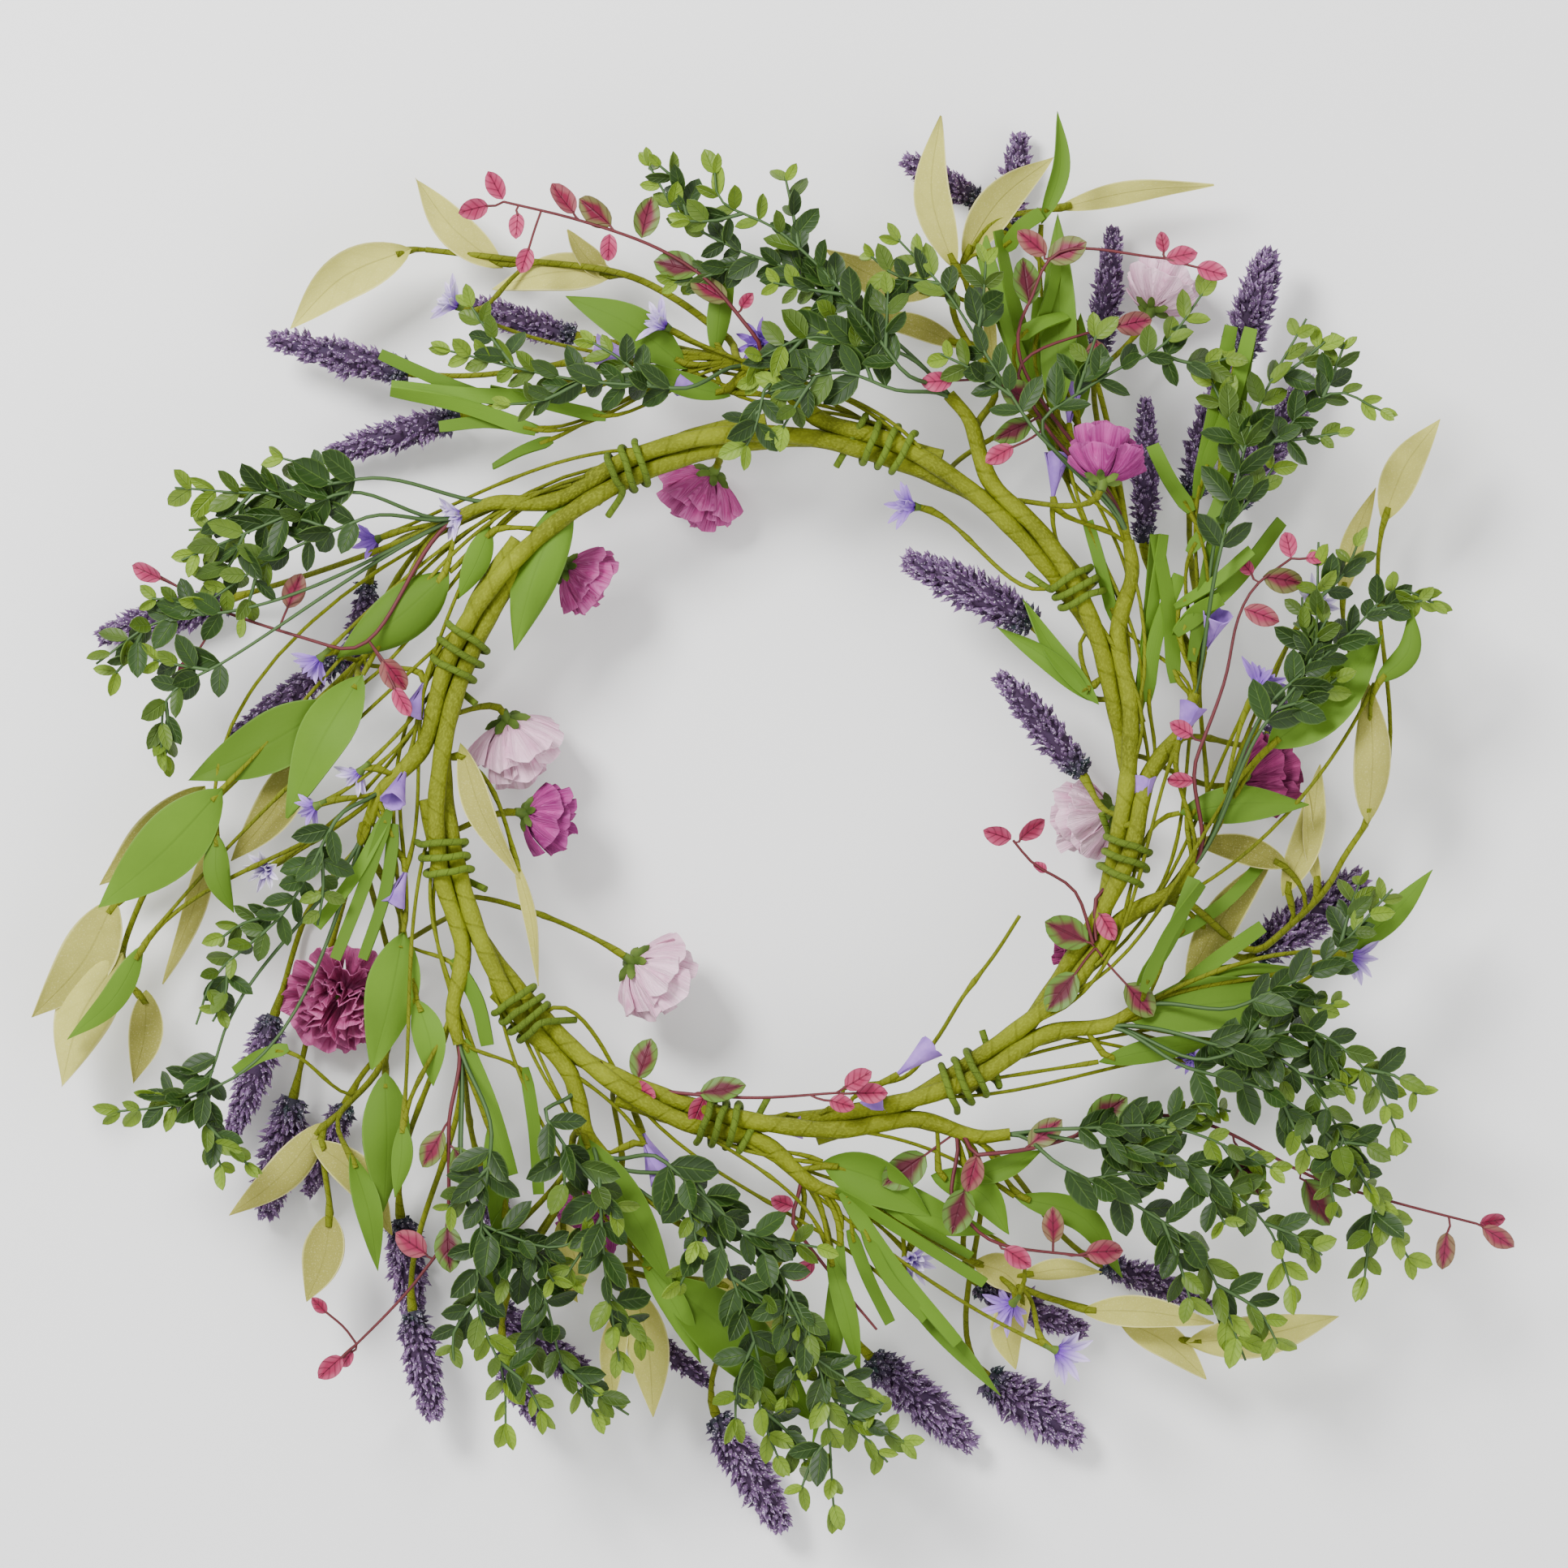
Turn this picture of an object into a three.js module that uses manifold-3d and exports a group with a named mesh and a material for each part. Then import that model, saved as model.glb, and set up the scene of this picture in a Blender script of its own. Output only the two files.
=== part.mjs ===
// A wildflower wreath about 55 cm across, lying on its face with its tied ring of stems uppermost.
// Twelve picks of leaves, lavender, sprigs and paper blooms sweep anticlockwise round the ring.
// Millimetres, +Z up. X and Y are measured from the middle of the wreath and Z from the table.
import * as THREE from 'three';
import { mergeVertices } from 'three/addons/utils/BufferGeometryUtils.js';
import Module from 'manifold-3d';

const wasm = await Module();
wasm.setup();
const { Manifold, Mesh } = wasm;

// Driving dimensions.
const RING_CENTRE = new THREE.Vector3(6, 16, 52);
const RING_RADIUS = 129;
const STEM_RADIUS = 3.15;
const LANE_RADIUS = 4;
const TWIST_PER_PICK = 120;
const TIE_WIRE_RADIUS = 1.5;
const TIE_PITCH = 4.6;
const TIE_TURNS = 2.4;
const TIE_SIDES = 6;
const CLEARANCE = 0.3;
const BLADE_THICKNESS = 0.9;
const STALK_WIDTH = 2.2;
const THIN_STEM_RADIUS = 1.2;
const BLOOM_STEM_RADIUS = 1.5;
const TRUNK_RADIUS = 2;
const REACH_TO_TIPS = 110;
// Degrees round the ring: where a stem starts after an older one left, and where it leaves and ends itself.
const STEM_START = 7;
const STEM_LEAVES = 3;
const STEM_END = 10;
const STEM_OUT = 22;
// Heights over a ring stem's middle line at which a trunk's foot is tried. The ring stem's sides are flat, so
// its surface is lower there than its radius.
const SEAT_GAPS = [2.75, 3, 3.25, 3.45];

// Ring angles in degrees at which each pick's wrapped stem leaves the ring, and where each tie sits.
const DEPARTURES = [86, 131, 176, 209, 235, 268, 292.5, 317, 338.5, 362, 385, 417];
const TIES = [116.7, 159.1, 193, 221.8, 259.9, 301.3, 347.1, 33.5, 73.7];

// Height of each kind of foliage over the ring and at the rim, and the side of the ring it roots on.
const LEVELS = {
  boxwood: { near: 74, far: 60, side: 70 },
  wine: { near: 64, far: 51, side: 35 },
  green: { near: 53, far: 44, side: 0 },
  khaki: { near: 40, far: 29, side: -35 },
  lavender: { near: 26, far: 9, side: -65 },
  bloom: { near: 12, far: 12, side: -90 },
};

// Lavender heads: pick, foot of the head, tip of the head, width, and a height where it isn't the usual.
const LAVENDER = [
  [0, -134, 168, -185, 181, 17], [0, -72, 182, -114, 195, 15], [0, -115, 152, -164, 138, 16],
  [1, -202, 84, -250, 70, 18], [1, -160, 62, -200, 32, 15], [1, -150, 90, -158, 52, 15],
  [2, -185, -72, -201, -116, 17], [2, -178, -103, -188, -146, 20], [2, -158, -105, -172, -138, 15],
  [3, -138, -146, -133, -183, 19], [3, -133, -184, -125, -221, 17], [3, -108, -128, -100, -160, 16],
  [4, -106, -180, -66, -209, 18], [4, -99, -196, -86, -222, 14], [4, -43, -192, -22, -210, 11],
  [5, -20, -222, 5, -263, 20], [5, 38, -200, 75, -233, 20],
  [6, 82, -208, 115, -230, 22], [6, 78, -172, 118, -190, 16], [6, 125, -165, 165, -181, 16],
  [8, 180, -49, 220, -22, 21, 50],
  [9, 158, 122, 171, 169, 17], [9, 174, 172, 186, 212, 20], [9, 174, 119, 203, 165, 20, 58],
  [9, 186, 32, 195, 46, 11], [9, 139, 105, 139, 157, 14, 38],
  [10, 122, 172, 129, 222, 15], [10, 88, 222, 94, 257, 16], [10, 78, 233, 51, 248, 15],
];
// Heads inside the ring have the ring angle of their root first.
const INNER_LAVENDER = [
  [14, 98, 74, 52, 98, 20, 42], [-6, 117, 18, 86, 55, 17, 32],
];

// Khaki leaves: pick, foot, tip, width, and how far the middle bows to the left.
const KHAKI = [
  [0, -133, 214, -178, 184, 18, -5], [0, -99, 207, -132, 241, 14, 3], [0, -57, 205, -103, 199, 15, -3],
  [1, -172, 28, -200, -14, 16, 3], [1, -210, 14, -250, -23, 20, 3], [1, -207, -5, -226, -60, 9, 2],
  [1, -243, -28, -274, -72, 21, 4], [1, -238, -48, -263, -98, 20, -4], [1, -230, -60, -237, -97, 12, 2],
  [2, -165, -111, -201, -146, 14, 3], [2, -170, -115, -140, -153, 14, 5], [2, -163, -140, -172, -178, 16, 2],
  [4, -50, -172, -43, -221, 16, 2], [4, -78, -145, -70, -175, 13, 2],
  [4, -20, -170, 10, -192, 14, 3],
  [5, 97, -175, 92, -201, 13, -6],
  [5, 116, -181, 165, -185, 12, 2], [5, 130, -184, 163, -207, 13, 3], [5, 155, -193, 212, -183, 16, -2],
  [7, 155, -60, 189, -10, 14, 3], [8, 160, -8, 193, -16, 11, 2], [8, 191, -27, 205, 22, 12, -3],
  [8, 222, 0, 221, 55, 14, -2], [8, 213, 84, 226, 125, 9, 2],
  [8, 228, 112, 249, 150, 14, 3],
  [11, 69, 206, 64, 263, 14, 6], [10, 72, 210, 106, 248, 15, 4], [10, 107, 229, 166, 238, 9, 2],
  [11, 62, 197, 21, 214, 14, 3], [11, 72, 177, 30, 188, 9, -3],
];

// Bright lance leaves, in the same form.
const BRIGHT = [
  [0, -20, 172, -13, 214, 9, 1], [0, -30, 182, -68, 195, 16, -3], [0, -14, 158, -50, 171, 10, 2],
  [1, -118, 93, -160, 61, 20, 2], [1, -160, 45, -215, 16, 22, 2], [1, -150, 55, -178, 2, 20, -2],
  [1, -202, 13, -248, -31, 22, 2],
  [2, -140, -40, -147, -91, 18, 1], [2, -142, -92, -143, -144, 17, 1],
  [2, -232, -45, -260, -80, 10, 4],
  [3, -103, -110, -100, -160, 9, 1],
  [4, -66, -118, -35, -172, 14, 2], [4, -40, -168, 18, -222, 22, 3],
  [5, 34, -130, 84, -152, 16, -3], [6, 66, -130, 89, -152, 13, 6], [6, 91, -138, 131, -168, 11, 9],
  [5, 27, -150, 16, -231, 8, 2],
  [7, 140, -70, 206, -64, 20, 2], [7, 212, -48, 246, -17, 10, -2],
  [8, 158, 3, 200, 7, 14, 2], [8, 184, 28, 227, 70, 20, -3], [8, 224, 52, 237, 80, 9, -6],
  [10, 108, 150, 107, 226, 14, -1], [10, 101, 222, 107, 264, 7, -4], [10, 114, 148, 116, 190, 10, 0],
];
const INNER_BRIGHT = [
  [122, -74, 121, -94, 64, 17, -2],
  [26, 122, 44, 94, 83, 8, 2], [18, 120, 45, 84, 73, 8, -2],
];

// Grass blades: pick, foot, tip, width.
const GRASS = [
  [0, -84, 158, -140, 162, 6], [5, 27, -136, 70, -192, 6], [7, 137, -62, 157, -19, 6],
  [9, 150, 52, 143, 107, 6], [9, 156, 60, 178, 183, 6], [10, 112, 126, 79, 218, 6],
];

// Starry flowers: pick, middle of the flower, end of its calyx, radius.
const STARRY = [
  [0, -121, 195, -115, 190, 9], [0, -44, 187, -37, 183, 10], [0, -10, 181, -3, 177, 10],
  [1, -118, 113, -112, 115, 9], [1, -151, 103, -144, 106, 9], [1, -170, 57, -165, 62, 9],
  [2, -155, 15, -150, 20, 8], [2, -172, 4, -166, 7, 8], [2, -190, -19, -186, -14, 9],
  [4, -25, -153, -31, -149, 10], [5, 57, -166, 52, -160, 10], [5, 86, -183, 91, -177, 11],
  [5, 112, -197, 105, -194, 12], [7, 191, -86, 183, -85, 11], [7, 222, -51, 214, -49, 10],
  [8, 184, 56, 180, 49, 11], [8, 205, 86, 200, 79, 11],
];
const INNER_STARRY = [[36, 46, 118, 55, 117, 10]];

// Trumpet flowers: pick, middle of the mouth, end of the calyx.
const TRUMPETS = [
  [0, -62, 175, -48, 173], [0, -32, 163, -17, 160], [1, -131, 42, -127, 53], [2, -138, 8, -134, 19],
  [2, -150, -24, -146, -13], [8, 156, 42, 151, 30], [8, 165, 76, 161, 63], [10, 107, 135, 105, 120],
  [10, 113, 163, 111, 149],
];
const INNER_TRUMPETS = [
  [224, -42, -126, -47, -114], [272, 10, -112, -2, -113], [276, 41, -103, 29, -106],
  [281, 59, -83, 47, -93], [352, 138, 15, 138, 1],
];

// Wine-red sprays: pick, leaf length, then the points of the stem.
const WINE = [
  [0, 17, [-22, 200], [-42, 215], [-72, 226], [-103, 234]], [1, 13, [-160, 66], [-200, 80], [-230, 94]],
  [3, 17, [-118, -120], [-119, -148], [-132, -168], [-160, -197]],
  [6, 19, [100, -117], [140, -108], [168, -113], [204, -130], [232, -142], [267, -151]],
  [6, 15, [80, -143], [95, -157], [122, -160]], [8, 16, [168, 52], [176, 78], [188, 94]],
  [10, 14, [106, 152], [104, 166], [114, 176], [136, 184]], [10, 14, [99, 190], [112, 204], [146, 210]],
];
const INNER_WINE = [
  [237, 15, [-46, -94], [-8, -100], [28, -97]], [341, 14, [114, -34], [108, -22], [86, -5]],
];

// Boxwood sprays, in the same form.
const BOXWOOD = [
  [0, 12, [-34, 160], [-75, 164], [-117, 174]],
  [11, 15, [48, 168], [27, 196], [4, 218], [-17, 229], [-20, 243]],
  [11, 15, [27, 192], [8, 204], [-12, 212], [-32, 224], [-44, 243]],
  [11, 18, [42, 175], [15, 179], [-6, 170]],
  [1, 12, [-150, 127], [-185, 122], [-219, 124]], [1, 12, [-160, 121], [-190, 108], [-216, 97]],
  [1, 13, [-200, 78], [-226, 74], [-248, 59]], [1, 13, [-200, 60], [-221, 47], [-224, 26]],
  [2, 14, [-160, 0], [-178, -32], [-203, -55], [-211, -74]], [2, 14, [-203, -84], [-208, -105], [-201, -129]],
  [3, 16, [-102, -118], [-106, -150], [-107, -178], [-98, -203], [-97, -221]],
  [3, 16, [-104, -150], [-84, -172], [-76, -200], [-63, -219]],
  [4, 16, [-62, -135], [-60, -165], [-55, -198]],
  [4, 17, [-38, -124], [-14, -146], [6, -168], [20, -205], [24, -254]],
  [4, 16, [-24, -135], [-14, -165], [-4, -196], [-3, -216], [8, -238]],
  [4, 14, [10, -180], [24, -212], [44, -236]],
  [6, 17, [108, -126], [138, -142], [160, -160], [176, -198]],
  [6, 15, [120, -118], [152, -124], [182, -146], [194, -174]],
  [7, 17, [155, -90], [187, -100], [213, -122], [236, -162]],
  [7, 15, [165, -86], [198, -76], [221, -92], [231, -112]],
  [7, 15, [176, -66], [203, -52], [230, -24]],
  [8, 13, [190, 50], [214, 70], [231, 86], [248, 80]], [8, 14, [182, 36], [200, 62], [203, 104]],
  [9, 15, [166, 100], [179, 150], [198, 186]], [9, 13, [180, 135], [206, 158], [225, 152]],
  [10, 15, [94, 150], [81, 171], [66, 195], [47, 216]],
  [10, 16, [104, 152], [126, 166], [146, 177], [161, 197]],
];

// Paper blooms: name (none where it is fused to the ring's stems), ring angle of the root, middle, end of
// the calyx, radius, colour, height of the face over the table.
const BLOOMS = [
  ['bloom_left', 202, -162, -70, -158, -62, 20, 'magenta', 0],
  ['bloom_bottom_left', 241, -68, -148, -62, -140, 15, 'rose', 0],
  ['bloom_upper_right', 52, 122, 136, 118, 128, 14, 'rose', 62],
  ['bloom_right', 4, 186, 18, 172, 14, 17, 'wine', 0],
  ['bloom_top_right', 62, 146, 198, 141, 189, 15, 'pink', 0],
  ['bloom_inner_top', 103, -26, 123, -22, 126, 17, 'magenta', 0],
  ['bloom_inner_left', 169, -95, 28, -98, 39, 17, 'pink', 8],
  ['bloom_inner_lower_left', 200, -42, -58, -52, -66, 15, 'pink', 12],
  ['bloom_inner_right', 356, 114, 2, 122, 4, 16, 'pink', 4],
  ['', 137, -70, 92, -74, 95, 13, 'magenta', 16],
  ['', 189, -85, 2, -90, 2, 12, 'magenta', 18],
  ['', 331, 112, -48, 116, -48, 8, 'wine', 30],
];

// The picks whose foliage of a kind is a node of its own. Elsewhere it is fused to the pick's green stem.
const OWN_NODES = {
  lavender: [0, 1, 2, 3, 4, 5, 6, 8, 9, 10],
  khaki: [0, 1, 2, 4, 5, 8, 11],
  boxwood: [1, 2, 3, 4, 6, 7, 10, 11],
  wine: [0, 6, 10],
};

const COLOURS = {
  pick: '#a5a53c', tie: '#6e8228', khaki: '#beb473', boxwood: '#325530', lavender: '#503c6e',
  wine: '#b03c6a', magenta: '#a04678', rose: '#c06aa8', pink: '#e6b9cd',
};

const UP = new THREE.Vector3(0, 0, 1);
const degrees = (angle) => angle * Math.PI / 180;

function randomFrom(seed) {
  let state = seed;
  return () => {
    state = (state * 1664525 + 1013904223) % 4294967296;
    return state / 4294967296;
  };
}
const random = randomFrom(7);
const spread = (amount) => (random() * 2 - 1) * amount;

// A closed manifold solid with its faces pointing out, from any closed three.js geometry.
function solidOf(geometry, tolerance = 1e-4) {
  geometry.deleteAttribute('normal');
  geometry.deleteAttribute('uv');
  const merged = mergeVertices(geometry, tolerance);
  const positions = Float32Array.from(merged.attributes.position.array);
  const triangles = [];
  for (let i = 0; i < merged.index.count; i += 3) {
    const corners = [merged.index.getX(i), merged.index.getX(i + 1), merged.index.getX(i + 2)];
    if (new Set(corners).size === 3) triangles.push(...corners);
  }
  const make = () => new Manifold(new Mesh({
    numProp: 3, vertProperties: positions, triVerts: Uint32Array.from(triangles),
  }));
  const solid = make();
  if (solid.volume() > 0) return solid;
  triangles.reverse();
  return make();
}

// A round or few-sided stem along a curve.
function tube(curve, radius, sides, steps) {
  const section = new THREE.Shape();
  for (let i = 0; i < sides; i += 1) {
    const angle = i * 2 * Math.PI / sides;
    const [x, y] = [radius * Math.cos(angle), radius * Math.sin(angle)];
    if (i === 0) section.moveTo(x, y);
    else section.lineTo(x, y);
  }
  return solidOf(new THREE.ExtrudeGeometry(section, { steps, bevelEnabled: false, extrudePath: curve }));
}

// Half outlines of the blades, as the share of the length and of the half width.
const OUTLINES = {
  lance: [[0.3, 0.95], [0.7, 0.82], [1, 0]],
  strip: [[0.5, 1], [1, 0.8]],
};

// A thin blade: its outline's two faces, a thickness apart, and the wall between them, laid along a curve.
// The outline's x is in millimetres along the curve and its y in millimetres across it.
function blade(curve, { corners, triangles }, roll, grow) {
  const length = curve.getLength();
  const thickness = BLADE_THICKNESS + 2 * grow;
  const places = [];
  for (const side of [1, -1]) {
    corners.forEach(([x, y]) => {
      const share = THREE.MathUtils.clamp(x / length, 0, 1);
      const ahead = curve.getTangentAt(share);
      const across = new THREE.Vector3().crossVectors(UP, ahead).normalize().applyAxisAngle(ahead, roll);
      const normal = new THREE.Vector3().crossVectors(ahead, across);
      const place = curve.getPointAt(share).addScaledVector(ahead, x - share * length);
      place.addScaledVector(across, y).addScaledVector(normal, side * thickness / 2);
      places.push(place.x, place.y, place.z);
    });
  }
  const under = corners.length;
  const edges = triangles.flatMap(([a, b, c]) => [[a, b], [b, c], [c, a]]);
  const inner = new Set(edges.map(([from, to]) => `${to} ${from}`));
  const faces = triangles.flatMap(([a, b, c]) => [a, b, c, under + a, under + c, under + b]);
  edges.filter(([from, to]) => !inner.has(`${from} ${to}`)).forEach(([from, to]) => {
    faces.push(from, under + from, under + to, from, under + to, to);
  });
  const geometry = new THREE.BufferGeometry();
  geometry.setAttribute('position', new THREE.BufferAttribute(Float32Array.from(places), 3));
  geometry.setIndex(faces);
  return solidOf(geometry);
}

// The triangles between the two sides of a strip, each a row of corner numbers from its foot on.
function between(corners, right, left) {
  const triangles = [];
  let [i, j] = [0, 0];
  while (i < right.length - 1 || j < left.length - 1) {
    const onRight = i < right.length - 1 ? corners[right[i + 1]][0] : Infinity;
    const onLeft = j < left.length - 1 ? corners[left[j + 1]][0] : Infinity;
    if (onRight <= onLeft) {
      triangles.push([right[i], right[i + 1], left[j]]);
      i += 1;
    } else {
      triangles.push([right[i], left[j + 1], left[j]]);
      j += 1;
    }
  }
  return triangles;
}

// Where along a stalk its outline has corners, so that it can bend there.
function stalkBends(stalk) {
  if (stalk < 4) return [0];
  const bends = Math.max(1, Math.round(stalk / 30));
  return Array.from({ length: bends + 1 }, (_, i) => stalk * i / bends);
}

// The outline of a leaf on its stalk.
function leafOutline(outline, stalk, length, width, grow) {
  const rows = stalkBends(stalk).map((x) => [x, STALK_WIDTH / 2 + grow]);
  OUTLINES[outline].forEach(([share, wide]) => {
    rows.push([stalk + length * share + (share === 1 ? grow : 0), wide === 0 ? 0 : wide * width / 2 + grow]);
  });
  const wideRows = rows.filter(([, y]) => y > 0);
  const corners = wideRows.flatMap(([x, y]) => [[x, -y], [x, y]]);
  const right = wideRows.map((_, i) => 2 * i);
  const left = wideRows.map((_, i) => 2 * i + 1);
  const triangles = between(corners, right, left);
  rows.filter(([, y]) => y === 0).forEach((tip) => {
    triangles.push([right.at(-1), corners.length, left.at(-1)]);
    corners.push(tip);
  });
  return { corners, triangles };
}

// The outline of a leafy spray: a rib with leaves cut to it on both sides by turns, and one at the tip.
const LEAN = 0.87;
const SPRAYS = { boxwood: { wide: 0.66, apart: 2.8 }, wine: { wide: 0.85, apart: 2.4 } };
function sprayOutline(kind, bare, whole, leaf, grow) {
  const { wide, apart: spacing } = SPRAYS[kind];
  const rib = STALK_WIDTH / 2 + grow;
  const [long, half] = [leaf + 1.5 * grow, wide * leaf / 2 + grow];
  const [ahead, out] = [Math.cos(LEAN), Math.sin(LEAN)];
  const corners = [];
  const leaves = [];
  const sideFrom = (start, stalk, side) => {
    const add = ([x, y]) => corners.push([x, side * y]) - 1;
    const rim = stalk.map((x) => add([x, rib]));
    for (let x = start; x < whole - 0.6 * leaf; x += spacing * leaf) {
      rim.push(add([x - grow, rib]));
      leaves.push([side, rim.length - 1, rim, [
        add([x + 0.42 * long * ahead - half * out, rib + 0.42 * long * out + half * ahead]),
        add([x + long * ahead, rib + long * out]),
        add([x + 0.55 * long * ahead + half * out, rib + 0.55 * long * out - half * ahead]),
      ]]);
    }
    rim.push(add([whole, 0.8 * rib]), add([whole + 0.45 * long, half]));
    return rim;
  };
  const stalk = stalkBends(bare).slice(0, -1);
  const right = sideFrom(bare, stalk, -1);
  const left = sideFrom(bare + spacing / 2 * leaf, [...stalk, bare], 1);
  const triangles = between(corners, right, left);
  triangles.push([right.at(-1), corners.length, left.at(-1)]);
  corners.push([whole + long, 0]);
  leaves.forEach(([side, place, rim, [near, tip, far]]) => {
    const [foot, next] = [rim[place], rim[place + 1]];
    const fan = [[foot, near, tip], [foot, tip, far], [foot, far, next]];
    triangles.push(...(side < 0 ? fan : fan.map(([a, b, c]) => [a, c, b])));
  });
  return { corners, triangles };
}

// A smooth stem that leaves one point in a direction and arrives at another in a direction.
function sweep(from, leaving, to, arriving) {
  const handle = from.distanceTo(to) / 3;
  return new THREE.CubicBezierCurve3(
    from, from.clone().addScaledVector(leaving, handle), to.clone().addScaledVector(arriving, -handle), to);
}

// A lavender head: a spindle whose florets stand out as rows of bumps.
function head(foot, tip, width, grow) {
  const around = 6;
  const rows = 4;
  const geometry = new THREE.SphereGeometry(1, around, rows);
  const ahead = new THREE.Vector3().subVectors(tip, foot);
  const length = ahead.length();
  const turn = new THREE.Quaternion().setFromUnitVectors(new THREE.Vector3(0, 1, 0), ahead.normalize());
  const positions = geometry.attributes.position;
  for (let i = 0; i < positions.count; i += 1) {
    const row = Math.round(Math.acos(THREE.MathUtils.clamp(positions.getY(i), -1, 1)) / Math.PI * rows);
    const turned = Math.atan2(positions.getZ(i), positions.getX(i)) / Math.PI;
    const around6 = Math.round(turned * around / 2 + around);
    const bump = (row + around6) % 2 === 0 ? 1 : 0.72;
    const along = row / rows;
    const full = (width / 2 + grow) * bump * (0.86 + 0.14 * Math.sin(along * 9));
    const radius = row === 0 || row === rows ? 0 : full;
    const angle = around6 * 2 * Math.PI / around;
    const up = (0.5 - along) * (length + 2 * grow);
    const corner = new THREE.Vector3(radius * Math.cos(angle), up, radius * Math.sin(angle));
    corner.applyQuaternion(turn);
    corner.addScaledVector(foot, 0.5).addScaledVector(tip, 0.5);
    positions.setXYZ(i, corner.x, corner.y, corner.z);
  }
  return solidOf(geometry);
}

function along(from, to, geometry) {
  const turn = new THREE.Quaternion().setFromUnitVectors(
    new THREE.Vector3(0, 1, 0), new THREE.Vector3().subVectors(to, from).normalize());
  geometry.applyQuaternion(turn);
  geometry.translate(from.x, from.y, from.z);
  return solidOf(geometry);
}

// A trumpet flower from the end of its calyx to its mouth.
function trumpet(calyx, mouth, radius, grow) {
  const length = calyx.distanceTo(mouth);
  const profile = [
    [0, -1], [0.25 * radius + grow, 0], [0.42 * radius + grow, 0.45 * length], [radius + grow, length],
    [0, 0.86 * length],
  ];
  return along(calyx, mouth, new THREE.LatheGeometry(profile.map(([x, y]) => new THREE.Vector2(x, y)), 5));
}

// A starry flower: a funnel whose rim runs out in pointed petals.
function star(calyx, middle, radius, grow) {
  const petals = 5;
  const geometry = new THREE.ConeGeometry(1, 1, 2 * petals, 1);
  const positions = geometry.attributes.position;
  const depth = 0.8 * radius;
  for (let i = 0; i < positions.count; i += 1) {
    const [x, y, z] = [positions.getX(i), positions.getY(i), positions.getZ(i)];
    const corner = Math.round(Math.atan2(x, z) / Math.PI * petals);
    const pointed = Math.abs(corner) % 2 === 0;
    const out = Math.hypot(x, z) < 0.5 ? 0 : (pointed ? radius : 0.42 * radius) + grow;
    const angle = corner * Math.PI / petals;
    let up = -1.5 - grow;
    if (y < 0) up = out === 0 ? 0.25 * depth : (pointed ? 1 : 0.62) * depth;
    positions.setXYZ(i, out * Math.sin(angle), up, out * Math.cos(angle));
  }
  return along(calyx, middle, geometry);
}

// A paper bloom that faces away from its calyx: five cupped petals in relief round a crumpled core.
const BLOOM_ROWS = [[0, 0.02], [0.42, 0.14], [1, 0.62], [0.68, 0.6], [0.5, 0.96], [0, 0.9]];
function bloom(calyx, face, radius, grow) {
  const depth = calyx.distanceTo(face);
  const petals = 5;
  const geometry = new THREE.SphereGeometry(1, 2 * petals, BLOOM_ROWS.length - 1);
  const positions = geometry.attributes.position;
  for (let i = 0; i < positions.count; i += 1) {
    const lean = Math.acos(THREE.MathUtils.clamp(positions.getY(i), -1, 1)) / Math.PI;
    const row = Math.round(lean * (BLOOM_ROWS.length - 1));
    const column = Math.round(Math.atan2(positions.getZ(i), positions.getX(i)) / Math.PI * petals);
    const petal = Math.abs(column) % 2 === 0;
    const [out, up] = BLOOM_ROWS[row];
    const wide = (row === 2 && !petal ? 0.74 : 1) * out * radius + grow * Math.sign(2.5 - row) * 0.9;
    const reach = out === 0 ? 0 : wide;
    const rise = (up + (row === 2 && petal ? 0.2 : 0) - (row === 4 && petal ? 0.08 : 0)) * depth;
    const angle = column * Math.PI / petals;
    const swell = row === 0 ? -grow : (row >= 4 ? grow : 0);
    positions.setXYZ(i, reach * Math.cos(angle), rise + swell, reach * Math.sin(angle));
  }
  return along(calyx, face, geometry);
}

// Everything placed so far, so that what is bent into place next keeps clear of it.
const placed = [];
const nodes = new Map();
const joined = new Map();
const missing = [];

function keep(node, solids) {
  if (!nodes.has(node)) nodes.set(node, []);
  solids.forEach((solid) => {
    nodes.get(node).push(solid);
    placed.push({ node, solid, box: solid.boundingBox() });
  });
  joined.set(node, Manifold.union(nodes.get(node)));
}

function isClear(node, solids) {
  return solids.every((solid) => {
    const box = solid.boundingBox();
    return placed.every((other) => {
      if (other.node === node) return true;
      if ([0, 1, 2].some((i) => box.min[i] > other.box.max[i] || box.max[i] < other.box.min[i])) return true;
      const common = solid.intersect(other.solid);
      const empty = common.isEmpty();
      common.delete();
      return empty;
    });
  });
}

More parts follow.
